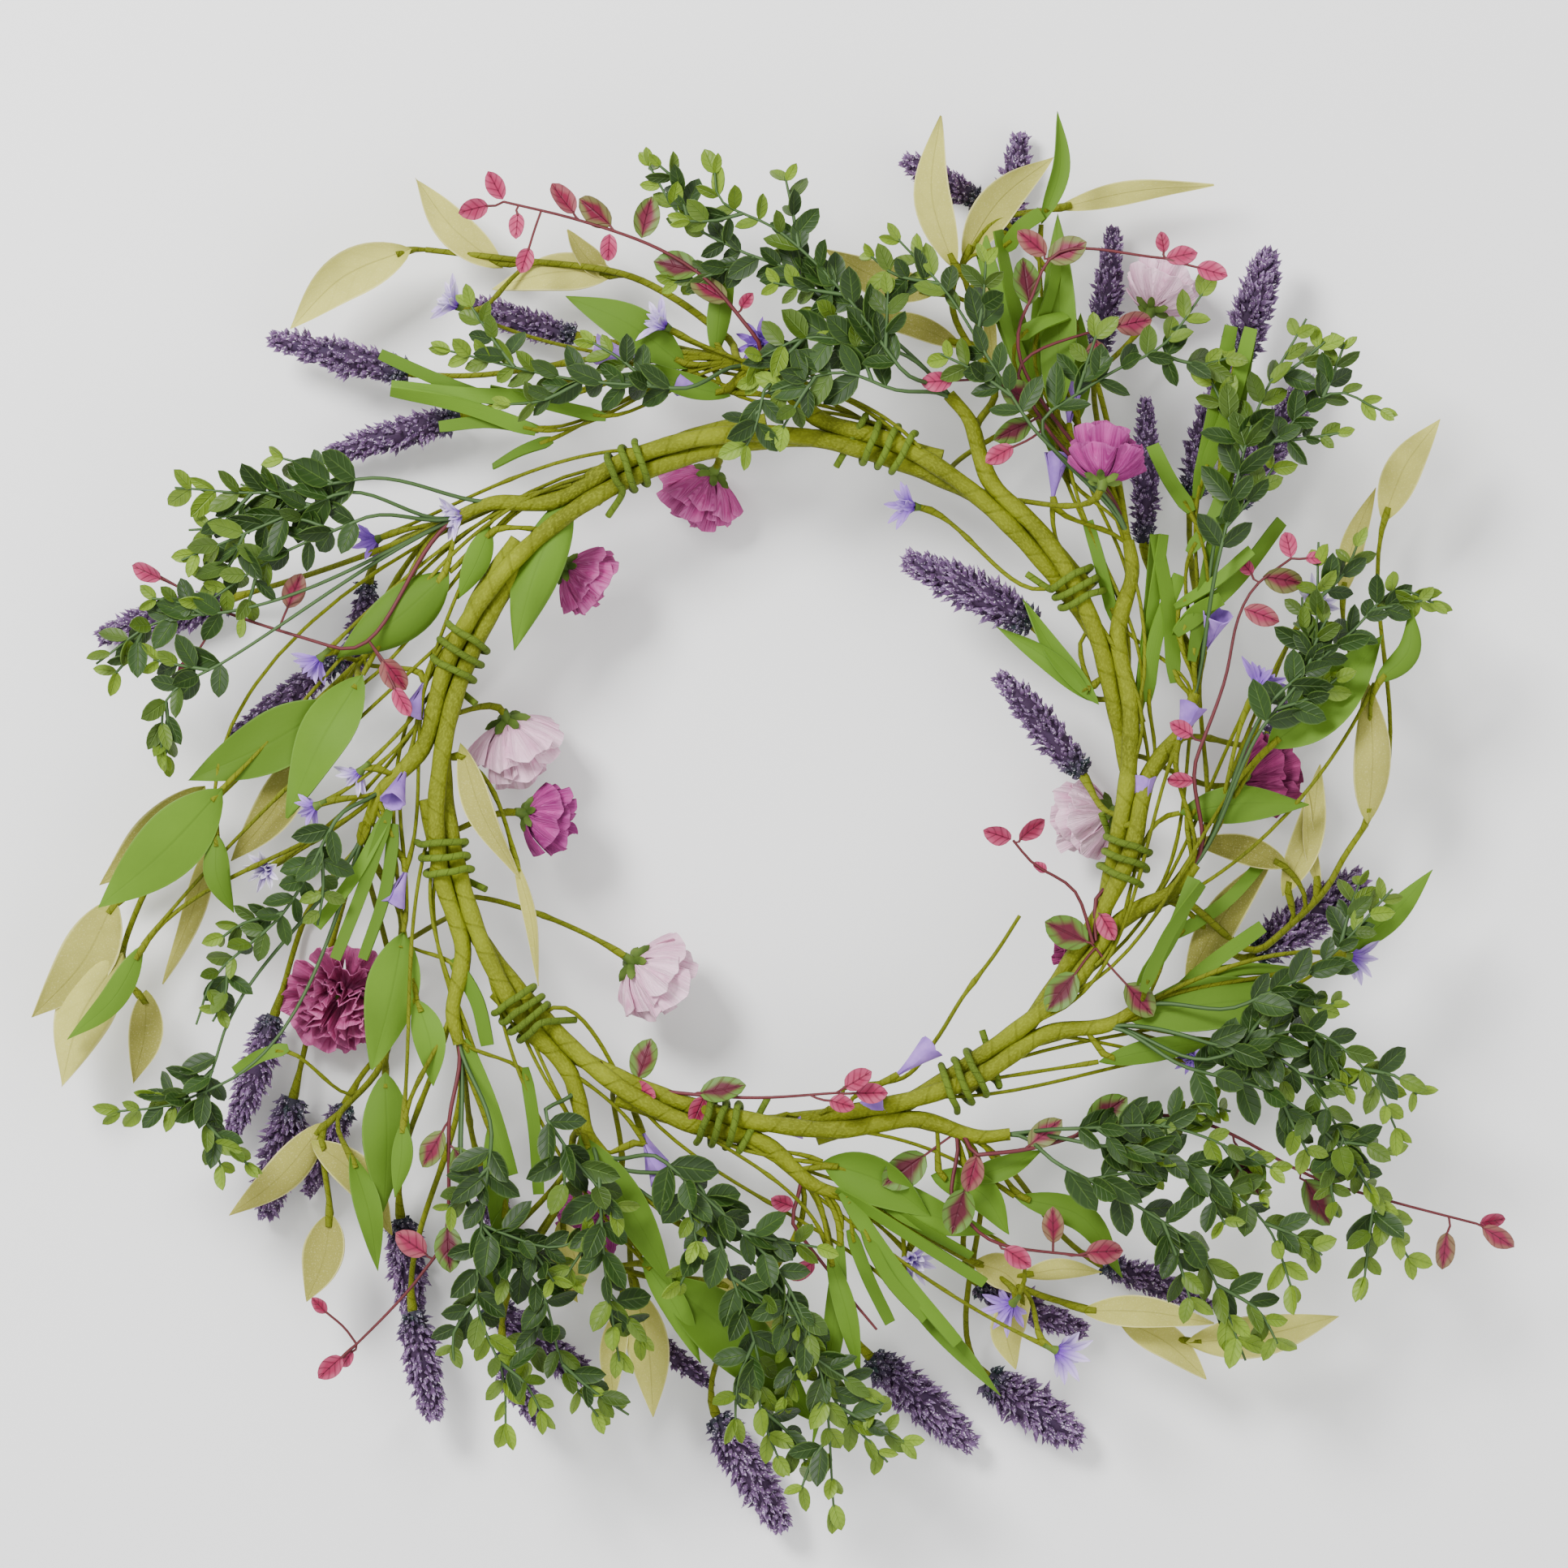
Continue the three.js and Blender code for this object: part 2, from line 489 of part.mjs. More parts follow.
// Tries one bend up or down after another, and one root after another. The piece, made a little thicker, has
// to miss all other nodes. Of the places that do, it takes the one where it crosses its own node least.
const BENDS = [0, 3, -3, 6, -6, 9, -9, 13, -13, 17, -17, 22, -22];
const FEW_CUTS = 22;
const MOST_TRIES = 36;
const NEAR_ROOTS = 4;
const SCRAP = 20;
function settle(roots, label, make) {
  let best = null;
  let tries = 0;
  const places = BENDS.flatMap((bend) => roots.slice(0, NEAR_ROOTS).map((root) => [bend, root]));
  places.push(...BENDS.flatMap((bend) => roots.slice(NEAR_ROOTS).map((root) => [bend, root])));
  for (const [place, [bend, root]] of places.entries()) {
    const near = place < BENDS.length * NEAR_ROOTS;
    if (best && (!near || best.cuts < FEW_CUTS || tries >= MOST_TRIES)) break;
    const thick = make(root, bend, CLEARANCE).solids;
    const clear = isClear(root.node, thick);
    thick.forEach((solid) => solid.delete());
    if (clear) {
      const made = make(root, bend, 0);
      const cuts = cutsIn(root.node, made.solids) + 0.7 * Math.abs(bend);
      tries += 1;
      if (cuts < (best?.cuts ?? Infinity)) best = { ...made, cuts, node: root.node };
    }
  }
  if (!best) {
    missing.push(`${roots.length ? roots[0].node : 'no root'} ${label}`);
    return;
  }
  keep(best.node, best.solids);
  addBranches(best.node, best.stations);
}

// How many triangles joining these solids to a node adds beyond their own, if they do join it.
function cutsIn(node, solids) {
  const before = joined.get(node);
  const after = Manifold.union(before ? [before, ...solids] : solids);
  const own = solids.reduce((sum, solid) => sum + solid.numTri(), 0);
  const bodies = after.decompose().filter((body) => body.volume() > SCRAP);
  const cuts = after.numTri() - own - (before ? before.numTri() : 0);
  after.delete();
  return bodies.length === 1 ? cuts : Infinity;
}

// A point of the ring at an angle, off its middle line by a distance towards a side: 0 is out, 90 is up.
function ringPoint(angle, out, side) {
  const radial = new THREE.Vector3(Math.cos(degrees(angle)), Math.sin(degrees(angle)), 0);
  return RING_CENTRE.clone().addScaledVector(radial, RING_RADIUS + out * Math.cos(degrees(side)))
    .addScaledVector(UP, out * Math.sin(degrees(side)));
}

const departure = (pick) => DEPARTURES[(pick + 12) % 12] + 360 * Math.floor(pick / 12);
const fromFirst = (angle) => DEPARTURES[0] + ((angle - DEPARTURES[0]) % 360 + 360) % 360;
const apart = (one, other) => Math.abs(((one - other) % 360 + 540) % 360 - 180);

// Three stems lie side by side in lanes that twist round each other, so each pick leaves from the outside.
function laneSide(lane, angle) {
  const turned = fromFirst(angle);
  let pick = 0;
  while (departure(pick + 1) <= turned) pick += 1;
  const share = (turned - departure(pick)) / (departure(pick + 1) - departure(pick));
  return -TWIST_PER_PICK * (pick + share - lane);
}

function pickStem(pick) {
  const from = departure(pick - 3) + STEM_START;
  const leaves = departure(pick) - STEM_LEAVES;
  const to = departure(pick) + STEM_END;
  const points = [];
  const steps = Math.round((leaves - from) / 10.5);
  for (let i = 0; i <= steps; i += 1) {
    const angle = from + (leaves - from) * i / steps;
    points.push(ringPoint(angle, LANE_RADIUS, laneSide(pick % 3, angle)));
  }
  for (let i = 1; i <= 3; i += 1) {
    const share = i / 3;
    const out = LANE_RADIUS + STEM_OUT * share * share * (3 - 2 * share);
    points.push(ringPoint(leaves + (to - leaves) * share, out, 0));
  }
  return new THREE.CatmullRomCurve3(points);
}

// Where a thin stem sits on the ring at an angle and a side, and the pick whose stem it sits on.
function seat(angle, side, gap) {
  const lanes = [0, 1, 2].filter((lane) => DEPARTURES.every(
    (start, pick) => pick % 3 !== lane || apart(angle, start) > STEM_START + 1));
  const away = (lane) => apart(laneSide(lane, angle), side);
  const lane = lanes.sort((a, b) => away(a) - away(b))[0];
  const direction = ringPoint(angle, 1, side).sub(ringPoint(angle, 0, side));
  const point = ringPoint(angle, LANE_RADIUS, laneSide(lane, angle)).addScaledVector(direction, gap);
  let pick = lane;
  while (departure(pick) < fromFirst(angle)) pick += 3;
  return { point, direction, pick: pick % 12 };
}

const two = (number) => String(number).padStart(2, '0');
const nodeFor = (kind, pick) => `${OWN_NODES[kind]?.includes(pick) ? kind : 'pick'}_${two(pick)}`;

// Places on the stems of a node from which its next stems can branch. They lie on the straight stretches
// between a stem's stations, since that is where its solid is.
const branches = new Map();
function addBranches(node, stations) {
  if (!branches.has(node)) branches.set(node, []);
  for (let i = 1; i < stations.length; i += 1) {
    const ahead = new THREE.Vector3().subVectors(stations[i], stations[i - 1]);
    const count = Math.max(1, Math.round(ahead.length() / 9));
    ahead.normalize();
    for (let k = 1; k <= count; k += 1) {
      const end = stations[i - 1].clone().lerp(stations[i], (k - 0.3) / count);
      branches.get(node).push({ node, end, ahead });
    }
  }
}

// The best places to branch from towards a point. A kind with its own node first gets a trunk from the ring.
function rootsFor(kind, pick, x, y) {
  const node = nodeFor(kind, pick);
  if (!node.startsWith('pick') && !branches.has(node)) addTrunk(node, kind, pick);
  const target = new THREE.Vector3(x, y, heightAt(kind, x, y));
  const cost = ({ end, ahead }) => {
    const way = target.clone().sub(end);
    const turn = 1 - way.clone().normalize().dot(ahead);
    return way.length() * (1 + 1.4 * turn) + (way.length() < 8 ? 20 : 0);
  };
  // No two stems start on the same corners, since their solids would share edges.
  const nudge = new THREE.Vector3(spread(0.2), spread(0.2), spread(0.2));
  return [...(branches.get(node) ?? [])].sort((a, b) => cost(a) - cost(b)).slice(0, 16)
    .map((branch) => ({ ...branch, end: branch.end.clone().add(nudge) }));
}

function addTrunk(node, kind, pick) {
  const angle = departure(pick) + STEM_END;
  const side = LEVELS[kind].side;
  const tip = ringPoint(angle, LANE_RADIUS + STEM_OUT, 0).addScaledVector(UP, 15 * Math.sin(degrees(side)));
  const ahead = new THREE.Vector3(Math.cos(degrees(angle + 50)), Math.sin(degrees(angle + 50)), 0);
  for (const shift of [0, 2, -2, 4, -4, 6, -6, 8, -8, 10, -10, 12, -12, 15, -15, 18, -18]) {
    for (const lift of [0, 3, -3, 6, -6]) {
      const end = tip.clone().addScaledVector(UP, lift);
      for (const gap of SEAT_GAPS) {
        const foot = seat(departure(pick) - 6 + shift, side, gap);
        const line = sweep(foot.point, foot.direction, end, ahead);
        const nearer = foot.point.clone().addScaledVector(foot.direction, -CLEARANCE);
        const thick = tube(sweep(nearer, foot.direction, end, ahead), TRUNK_RADIUS + CLEARANCE, 4, 4);
        if (isClear(node, [thick])) {
          keep(node, [tube(line, TRUNK_RADIUS, 4, 4)]);
          addBranches(node, line.getSpacedPoints(4).slice(2));
          return;
        }
      }
    }
  }
  missing.push(`${node} trunk`);
}

// Roots straight on the ring near an angle, for what stands alone or inside the ring.
function ringRoots(node, angle, side) {
  return [0, 2, -2, 4, -4, 6, -6, 9, -9, 12, -12, 16, -16].map((shift) => {
    const foot = seat(angle + shift, side, node ? STEM_RADIUS + CLEARANCE : 0);
    return { node: node ?? `pick_${two(foot.pick)}`, end: foot.point, ahead: foot.direction };
  });
}

const innerSide = (kind) => 180 - LEVELS[kind].side;

function heightAt(kind, x, y) {
  const out = Math.hypot(x - RING_CENTRE.x, y - RING_CENTRE.y) - RING_RADIUS;
  const share = THREE.MathUtils.clamp(out / REACH_TO_TIPS, 0, 1);
  return LEVELS[kind].near + (LEVELS[kind].far - LEVELS[kind].near) * share;
}

const stepsFor = (curve, each) => THREE.MathUtils.clamp(Math.round(curve.getLength() / each), 2, 6);

function addHead(roots, [, footX, footY, tipX, tipY, width, level]) {
  settle(roots, `head at ${tipX}, ${tipY}`, (root, bend, grow) => {
    const height = (x, y) => Math.max((level ?? heightAt('lavender', x, y)) + bend, width / 2 - 0.7);
    const foot = new THREE.Vector3(footX, footY, height(footX, footY));
    const tip = new THREE.Vector3(tipX, tipY, height(tipX, tipY));
    const ahead = new THREE.Vector3().subVectors(tip, foot).normalize();
    const stem = sweep(root.end, root.ahead, foot.clone().addScaledVector(ahead, 4), ahead);
    const steps = stepsFor(stem, 28);
    const solids = [tube(stem, THIN_STEM_RADIUS + grow, 3, steps), head(foot, tip, width, grow)];
    return { solids, stations: stem.getSpacedPoints(steps).slice(0, -1) };
  });
}

// The middle line of a leaf and its stalk, from its root by its foot to its tip, bowed to the left and
// arched up.
function leafCurve(root, foot, tip, bow, arch) {
  const ahead = new THREE.Vector3().subVectors(tip, foot);
  const left = new THREE.Vector3().crossVectors(UP, ahead).normalize();
  const middle = foot.clone().lerp(tip, 0.5).addScaledVector(left, bow).addScaledVector(UP, arch);
  const stalk = root.end.distanceTo(foot);
  const points = [root.end];
  if (stalk > 12) points.push(root.end.clone().addScaledVector(root.ahead, Math.min(9, 0.35 * stalk)));
  if (stalk > 5) points.push(foot);
  return new THREE.CatmullRomCurve3([...points, middle, tip], false, 'centripetal');
}

function addLeaf(kind, roots, [, footX, footY, tipX, tipY, width, bow], outline = 'lance') {
  const roll = spread(0.3);
  const arch = 1.5 + spread(1);
  settle(roots, `${kind} leaf at ${tipX}, ${tipY}`, (root, bend, grow) => {
    const foot = new THREE.Vector3(footX, footY, heightAt(kind, footX, footY) + 0.7 * bend);
    const tip = new THREE.Vector3(tipX, tipY, heightAt(kind, tipX, tipY) + bend);
    const stem = leafCurve(root, foot, tip, bow, arch);
    const length = foot.distanceTo(tip);
    const stalk = Math.max(0, stem.getLength() - length);
    const solids = [blade(stem, leafOutline(outline, stalk, length, width, grow), roll, grow)];
    const stations = stalkBends(stalk).map((x) => stem.getPointAt(x / (stalk + length)));
    return { solids, stations: stalk < 12 ? [] : stations };
  });
}

// A grass blade is a leaf of one width.
function addGrass(roots, [, footX, footY, tipX, tipY, width]) {
  addLeaf('green', roots, [0, footX, footY, tipX, tipY, width, 0], 'strip');
}

function addFlower(form, roots, [, x, y, calyxX, calyxY, radius = 5.6]) {
  settle(roots, `flower at ${x}, ${y}`, (root, bend, grow) => {
    const middle = new THREE.Vector3(x, y, heightAt('green', x, y) + 3 + bend);
    const calyx = new THREE.Vector3(calyxX, calyxY, heightAt('green', x, y) + bend);
    const ahead = new THREE.Vector3().subVectors(middle, calyx).normalize();
    const stem = sweep(root.end, root.ahead, calyx.clone().addScaledVector(ahead, 1), ahead);
    const steps = stepsFor(stem, 30);
    const solids = [tube(stem, THIN_STEM_RADIUS + grow, 3, steps), form(calyx, middle, radius, grow)];
    return { solids, stations: stem.getSpacedPoints(steps).slice(0, -1) };
  });
}

// The stem of a spray through the points read from the picture, from its root.
function sprayCurve(kind, root, points, bend) {
  const lifted = points.map(
    ([x, y], i) => new THREE.Vector3(x, y, heightAt(kind, x, y) + bend * (i + 1) / points.length));
  while (lifted.length > 2 && lifted[0].distanceTo(root.end) < 7) lifted.shift();
  const reach = lifted[0].distanceTo(root.end);
  const first = reach > 12 ? [root.end.clone().addScaledVector(root.ahead, Math.min(9, 0.35 * reach))] : [];
  const stem = new THREE.CatmullRomCurve3([root.end, ...first, ...lifted], false, 'centripetal');
  const leafy = new THREE.CatmullRomCurve3(lifted, false, 'centripetal').getLength();
  return { stem, leafy };
}

function addSpray(kind, roots, leaf, points) {
  const roll = spread(0.25);
  settle(roots, `${kind} at ${points[points.length - 1]}`, (root, bend, grow) => {
    const { stem, leafy } = sprayCurve(kind, root, points, bend);
    const whole = stem.getLength() - 0.55 * leaf;
    const bare = Math.max(5, stem.getLength() - leafy);
    const solids = [blade(stem, sprayOutline(kind, bare, whole, leaf, grow), roll, grow)];
    return { solids, stations: stalkBends(bare).map((x) => stem.getPointAt(x / stem.getLength())) };
  });
}

function addBloom([node, , x, y, calyxX, calyxY, radius, , level], roots) {
  settle(roots, 'bloom', (root, bend, grow) => {
    const depth = 1.05 * radius;
    const bottom = level === 0 ? -0.8 : level + bend;
    const face = new THREE.Vector3(x, y, bottom);
    const over = new THREE.Vector3(x, y, bottom + depth);
    const calyx = new THREE.Vector3(calyxX, calyxY, bottom + depth).lerp(over, 0.4);
    const ahead = new THREE.Vector3().subVectors(face, calyx).normalize();
    const lean = level === 0 ? bend / 8 : 0;
    const stem = sweep(root.end, root.ahead, calyx.clone().addScaledVector(ahead, 0.4 * depth), ahead);
    stem.v1.z += 3 * lean;
    const stalk = tube(stem, BLOOM_STEM_RADIUS + grow, 4, stepsFor(stem, 14));
    return { solids: [stalk, bloom(calyx, face, radius, grow)], stations: [] };
  });
}

// The ring's stems and ties.
DEPARTURES.forEach((_, pick) => {
  const node = `pick_${two(pick)}`;
  const stem = pickStem(pick);
  keep(node, [tube(stem, STEM_RADIUS, 5, stem.points.length - 1)]);
  addBranches(node, stem.getSpacedPoints(stem.points.length - 1).slice(-3));
});

function tie(angle) {
  const middle = LANE_RADIUS + STEM_RADIUS + CLEARANCE + TIE_WIRE_RADIUS;
  const radius = middle / Math.cos(Math.PI / TIE_SIDES) + 0.1;
  const points = [];
  for (let i = 0; i <= TIE_SIDES * TIE_TURNS; i += 1) {
    const shift = (i / TIE_SIDES - TIE_TURNS / 2) * TIE_PITCH / RING_RADIUS * 180 / Math.PI;
    points.push(ringPoint(angle + shift, radius, i * 360 / TIE_SIDES));
  }
  points.push(ringPoint(angle + 7, radius + 3, 190));
  return tube(new THREE.CatmullRomCurve3(points), TIE_WIRE_RADIUS, 3, points.length - 1);
}
TIES.forEach((angle, i) => keep(`tie_${two(i)}`, [tie(angle)]));

// Foliage and flowers: the lowest first, then the highest, then the green that has the most room between.
BLOOMS.forEach((row) => {
  const own = row[0] !== '';
  const inside = Math.hypot(row[2] - RING_CENTRE.x, row[3] - RING_CENTRE.y) < RING_RADIUS;
  const side = row[8] > 40 ? 60 : (inside ? -110 : -70);
  addBloom(row, ringRoots(own ? row[0] : null, row[1], side));
});
const near = ([pick, x, y]) => [pick, x, y];
LAVENDER.forEach((row) => addHead(rootsFor('lavender', ...near(row)), row));
INNER_LAVENDER.forEach((row, i) => {
  addHead(ringRoots(`lavender_inner_${i}`, row[0], innerSide('lavender')), row);
});
KHAKI.forEach((row) => addLeaf('khaki', rootsFor('khaki', ...near(row)), row));
WINE.forEach(([pick, leaf, ...points]) => {
  addSpray('wine', rootsFor('wine', pick, ...points[0]), leaf, points);
});
INNER_WINE.forEach(([angle, leaf, ...points]) => {
  addSpray('wine', ringRoots(null, angle, innerSide('wine')), leaf, points);
});
BOXWOOD.forEach(([pick, leaf, ...points]) => {
  addSpray('boxwood', rootsFor('boxwood', pick, ...points[0]), leaf, points);
});
BRIGHT.forEach((row) => addLeaf('green', rootsFor('green', ...near(row)), row));
INNER_BRIGHT.forEach((row) => addLeaf('green', ringRoots(null, row[0], 180), row));
STARRY.forEach((row) => addFlower(star, rootsFor('green', ...near(row)), row));
INNER_STARRY.forEach((row) => addFlower(star, ringRoots(null, row[0], 180), row));
TRUMPETS.forEach((row) => addFlower(trumpet, rootsFor('green', ...near(row)), row));
INNER_TRUMPETS.forEach((row) => addFlower(trumpet, ringRoots(null, row[0], 160), row));
GRASS.forEach((row) => addGrass(rootsFor('green', ...near(row)), row));

// How much detail a node may lose and how near corners are made one, in mm, in the order they are tried.
const DETAILS = [[0.12, 0.05], [0.25, 0.05], [0.12, 0.01], [0.25, 0.01], [0.25, 1e-3], [0.05, 1e-3]];

// Each node is one body: its pieces are joined, hollows and loose scraps go, and it is cut level with the
// table. Corners are then set to the thousandths that files hold, which can part a thin neck or pinch two
// edges into one, so a hair's shift between the pieces is tried until each edge has two faces.
const largest = (solid) => solid.decompose().sort((one, other) => other.volume() - one.volume())[0];
function geometryOf(solids) {
  for (const shift of [0, 0.02, 0.04, 0.06, 0.08, 0.1]) {
    const shifts = (i) => [shift * (i % 3 - 1), shift * (i % 2), shift * (i % 5 - 2)];
    const moved = solids.map((solid, i) => solid.translate(shifts(i)));
    const whole = largest(Manifold.union(moved).trimByPlane([0, 0, 1], 0));
    for (const [detail, weld] of DETAILS) {
      const geometry = welded(whole.simplify(detail), weld);
      if (geometry && isSimple(geometry)) return geometry;
    }
  }
  throw new Error('a node has edges with more than two faces');
}

// A solid with its nearest corners made one, or nothing where that leaves it open.
function welded(solid, weld) {
  try {
    const body = largest(solidOf(asGeometry(solid), weld));
    const again = largest(solidOf(asGeometry(body), 1e-3));
    return Math.abs(again.volume() - solid.volume()) < 0.01 * solid.volume() ? asGeometry(again) : null;
  } catch {
    return null;
  }
}

function isSimple(geometry) {
  const { index, attributes: { position } } = mergeVertices(geometry.clone(), 1e-3);
  const uses = new Map();
  for (let i = 0; i < index.count; i += 1) {
    const [from, to] = [index.getX(i), index.getX(i % 3 === 2 ? i - 2 : i + 1)];
    const edge = Math.min(from, to) * position.count + Math.max(from, to);
    uses.set(edge, (uses.get(edge) ?? 0) + 1);
  }
  return [...uses.values()].every((count) => count === 2);
}

function asGeometry(solid) {
  const { vertProperties, triVerts } = solid.getMesh();
  const geometry = new THREE.BufferGeometry();
  geometry.setAttribute('position', new THREE.BufferAttribute(vertProperties, 3));
  geometry.setIndex(new THREE.BufferAttribute(triVerts, 1));
  return geometry;
}

const COLOUR_OF_BLOOM = Object.fromEntries(BLOOMS.map((row) => [row[0], row[7]]));
function materialFor(node) {
  const kind = COLOUR_OF_BLOOM[node] ?? node.split('_')[0];
  return new THREE.MeshStandardMaterial({
    name: kind, color: COLOURS[kind], roughness: kind === 'boxwood' ? 0.45 : 0.75, metalness: 0,
    side: THREE.DoubleSide,
  });
}

const wreath = new THREE.Group();
wreath.name = 'wildflower_wreath';
nodes.forEach((solids, node) => {
  const geometry = geometryOf(solids);
  geometry.computeVertexNormals();
  const mesh = new THREE.Mesh(geometry, materialFor(node));
  mesh.name = node;
  wreath.add(mesh);
});
if (missing.length) console.warn(`left out: ${missing.join('; ')}`);

export default wreath;
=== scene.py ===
"""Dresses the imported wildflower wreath: wrapped stems, leaves, lavender, sprigs and paper blooms.

Places are in millimetres from the middle of the picture, X to the right and Y up it, as in the part's source.
Heights are read from the frame's own solids, so each piece lies where its solid does.
"""

import math

import bmesh
import bpy
import numpy as np
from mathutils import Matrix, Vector
from mathutils.bvhtree import BVHTree


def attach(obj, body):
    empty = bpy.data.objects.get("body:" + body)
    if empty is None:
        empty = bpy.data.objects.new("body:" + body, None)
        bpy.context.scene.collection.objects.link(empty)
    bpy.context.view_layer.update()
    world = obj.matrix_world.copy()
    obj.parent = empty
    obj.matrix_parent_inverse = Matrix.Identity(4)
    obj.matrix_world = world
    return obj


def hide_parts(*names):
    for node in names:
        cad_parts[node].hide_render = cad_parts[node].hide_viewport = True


bl_info = {
    "name": "Wildflower wreath",
    "version": (1, 0, 0),
    "blender": (4, 5, 0),
    "location": "View3D > Sidebar > Wreath",
    "description": "Dresses the packed wreath with its stems, leaves, lavender and paper blooms",
    "category": "Object",
}

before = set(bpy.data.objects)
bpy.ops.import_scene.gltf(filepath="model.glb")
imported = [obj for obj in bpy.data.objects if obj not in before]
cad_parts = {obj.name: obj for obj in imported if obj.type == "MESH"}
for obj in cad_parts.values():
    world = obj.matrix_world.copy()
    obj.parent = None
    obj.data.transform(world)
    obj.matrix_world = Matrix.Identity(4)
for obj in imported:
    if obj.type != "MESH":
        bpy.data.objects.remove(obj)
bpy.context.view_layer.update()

MM = 0.001
UP = np.array([0.0, 0.0, 1.0])
# The ring's middle line, how far off it the three lanes of stems lie, and their twist in degrees a pick.
RING_CENTRE = np.array([6.0, 16.0, 52.0])
RING_RADIUS = 129.0
LANE_RADIUS = 4.0
TWIST_PER_PICK = 120.0
# A thick stem, in degrees along the ring: it starts past the departure of the pick three before it, leaves
# before its own, ends past it, and has a place at about every step.
STEM_START, STEM_LEAVES, STEM_END, STEM_STEP = 7.0, 3.0, 10.0, 10.5
# How far its end stands out of the ring, and the length of the end on which thin stems may be rooted.
STEM_OUT, STEM_BRANCHES = 22.0, 42.0
# A tie: mm from turn to turn, turns at least, places a turn, and how far off the middle line it lies.
TIE_PITCH, TIE_TURNS, TIE_SIDES = 4.6, 2.4, 10
TIE_RADIUS = LANE_RADIUS + 3.15
# A tie's loose end: degrees along the ring, mm out of the winding, and degrees round it.
TIE_END = (7, 3, 190)
# From the ring to the rim of the foliage.
REACH_TO_TIPS = 110.0
# How a solid's height is read: from this height in metres, a step past each surface, at most so often.
LOOK_FROM, LOOK_PAST, LOOK_TIMES = 0.15, 2e-5, 40
# How far, in mm, that height may be from the usual one, how far aside the solid may lie, and how far the
# heights along one thing may be from their middle one.
OFF_LEVEL, ASIDE, LEVEL_SPREAD = 30.0, 14.0, 12.0
# Where things inside the ring and the blooms are rooted: degrees round the ring's middle line, 180 is inside.
ROOTS = {
    "bright": 180, "khaki": 190, "starry": 180, "trumpet": 160, "twig": 170, "lavender": 200, "wine": 150,
    "bloom_inside": -110, "bloom_outside": -70,
}
# A middling lavender head's width, and its length times its width. Buds in a whorl, and the turn to the next.
HEAD_WIDTH, HEAD_AREA, WHORL, GOLDEN_TURN = 17, 850, 6, 2.399963
# The pick whose lavender stems go down to the table on their way.
DIPPING_PICK = 2
STAR_PETALS = 16
# Boxwood: mm of leafy stem to a side shoot.
SHOOT_EACH = 30
# Stems beside a pick: how far before its end they start, their least length, and the gap to open blooms.
RUNNER_START, RUNNER_LEAST, BLOOM_CLEAR = (30, 85), 35, 22
# The photo: mm to a pixel, pixels along its side, and the pixel at the middle of the frame.
PIXEL, PHOTO_SIDE, PHOTO_ORIGIN = 0.3, 1932, (947, 1015)

# Ring angles in degrees at which each pick's stem leaves the ring, and where each tie sits.
DEPARTURES = [86, 131, 176, 209, 235, 268, 292.5, 317, 338.5, 362, 385, 417]
TIES = [116.7, 159.1, 193, 221.8, 259.9, 301.3, 347.1, 33.5, 73.7]
PICKS = len(DEPARTURES)

# Height of each kind of foliage over the ring and at the rim.
LEVELS = {
    "boxwood": (74, 60), "wine": (64, 51), "green": (53, 44), "khaki": (40, 29), "lavender": (26, 9),
}

# Lavender heads: pick, foot of the head, tip of the head, width.
LAVENDER = [
    (0, -134, 168, -185, 181, 17), (0, -72, 182, -114, 195, 15), (0, -115, 152, -164, 138, 16),
    (1, -202, 84, -250, 70, 18), (1, -160, 62, -200, 32, 15), (1, -150, 90, -158, 52, 15),
    (2, -185, -72, -201, -116, 17), (2, -178, -103, -188, -146, 20), (2, -158, -105, -172, -138, 15),
    (3, -138, -148, -133, -185, 19), (3, -133, -182, -125, -221, 18), (3, -108, -128, -100, -160, 16),
    (4, -106, -180, -66, -209, 18), (4, -99, -196, -86, -222, 15), (4, -43, -192, -22, -210, 11),
    (5, -20, -222, 5, -263, 20), (5, 38, -200, 75, -233, 20),
    (6, 82, -208, 115, -230, 22), (6, 78, -172, 118, -190, 16), (6, 125, -165, 165, -181, 15),
    (8, 182, -50, 221, -21, 22),
    (9, 158, 122, 172, 170, 17), (9, 175, 172, 186, 212, 20), (9, 174, 119, 203, 165, 20),
    (9, 186, 32, 195, 46, 10), (9, 139, 104, 140, 157, 14),
    (10, 122, 172, 129, 222, 15), (10, 88, 222, 94, 257, 16), (10, 78, 233, 51, 248, 15),
]
# Heads inside the ring: node, ring angle of the root, then the same.
INNER_LAVENDER = [
    ("lavender_inner_0", 14, 98, 74, 52, 98, 20), ("lavender_inner_1", -6, 117, 18, 86, 55, 17),
]

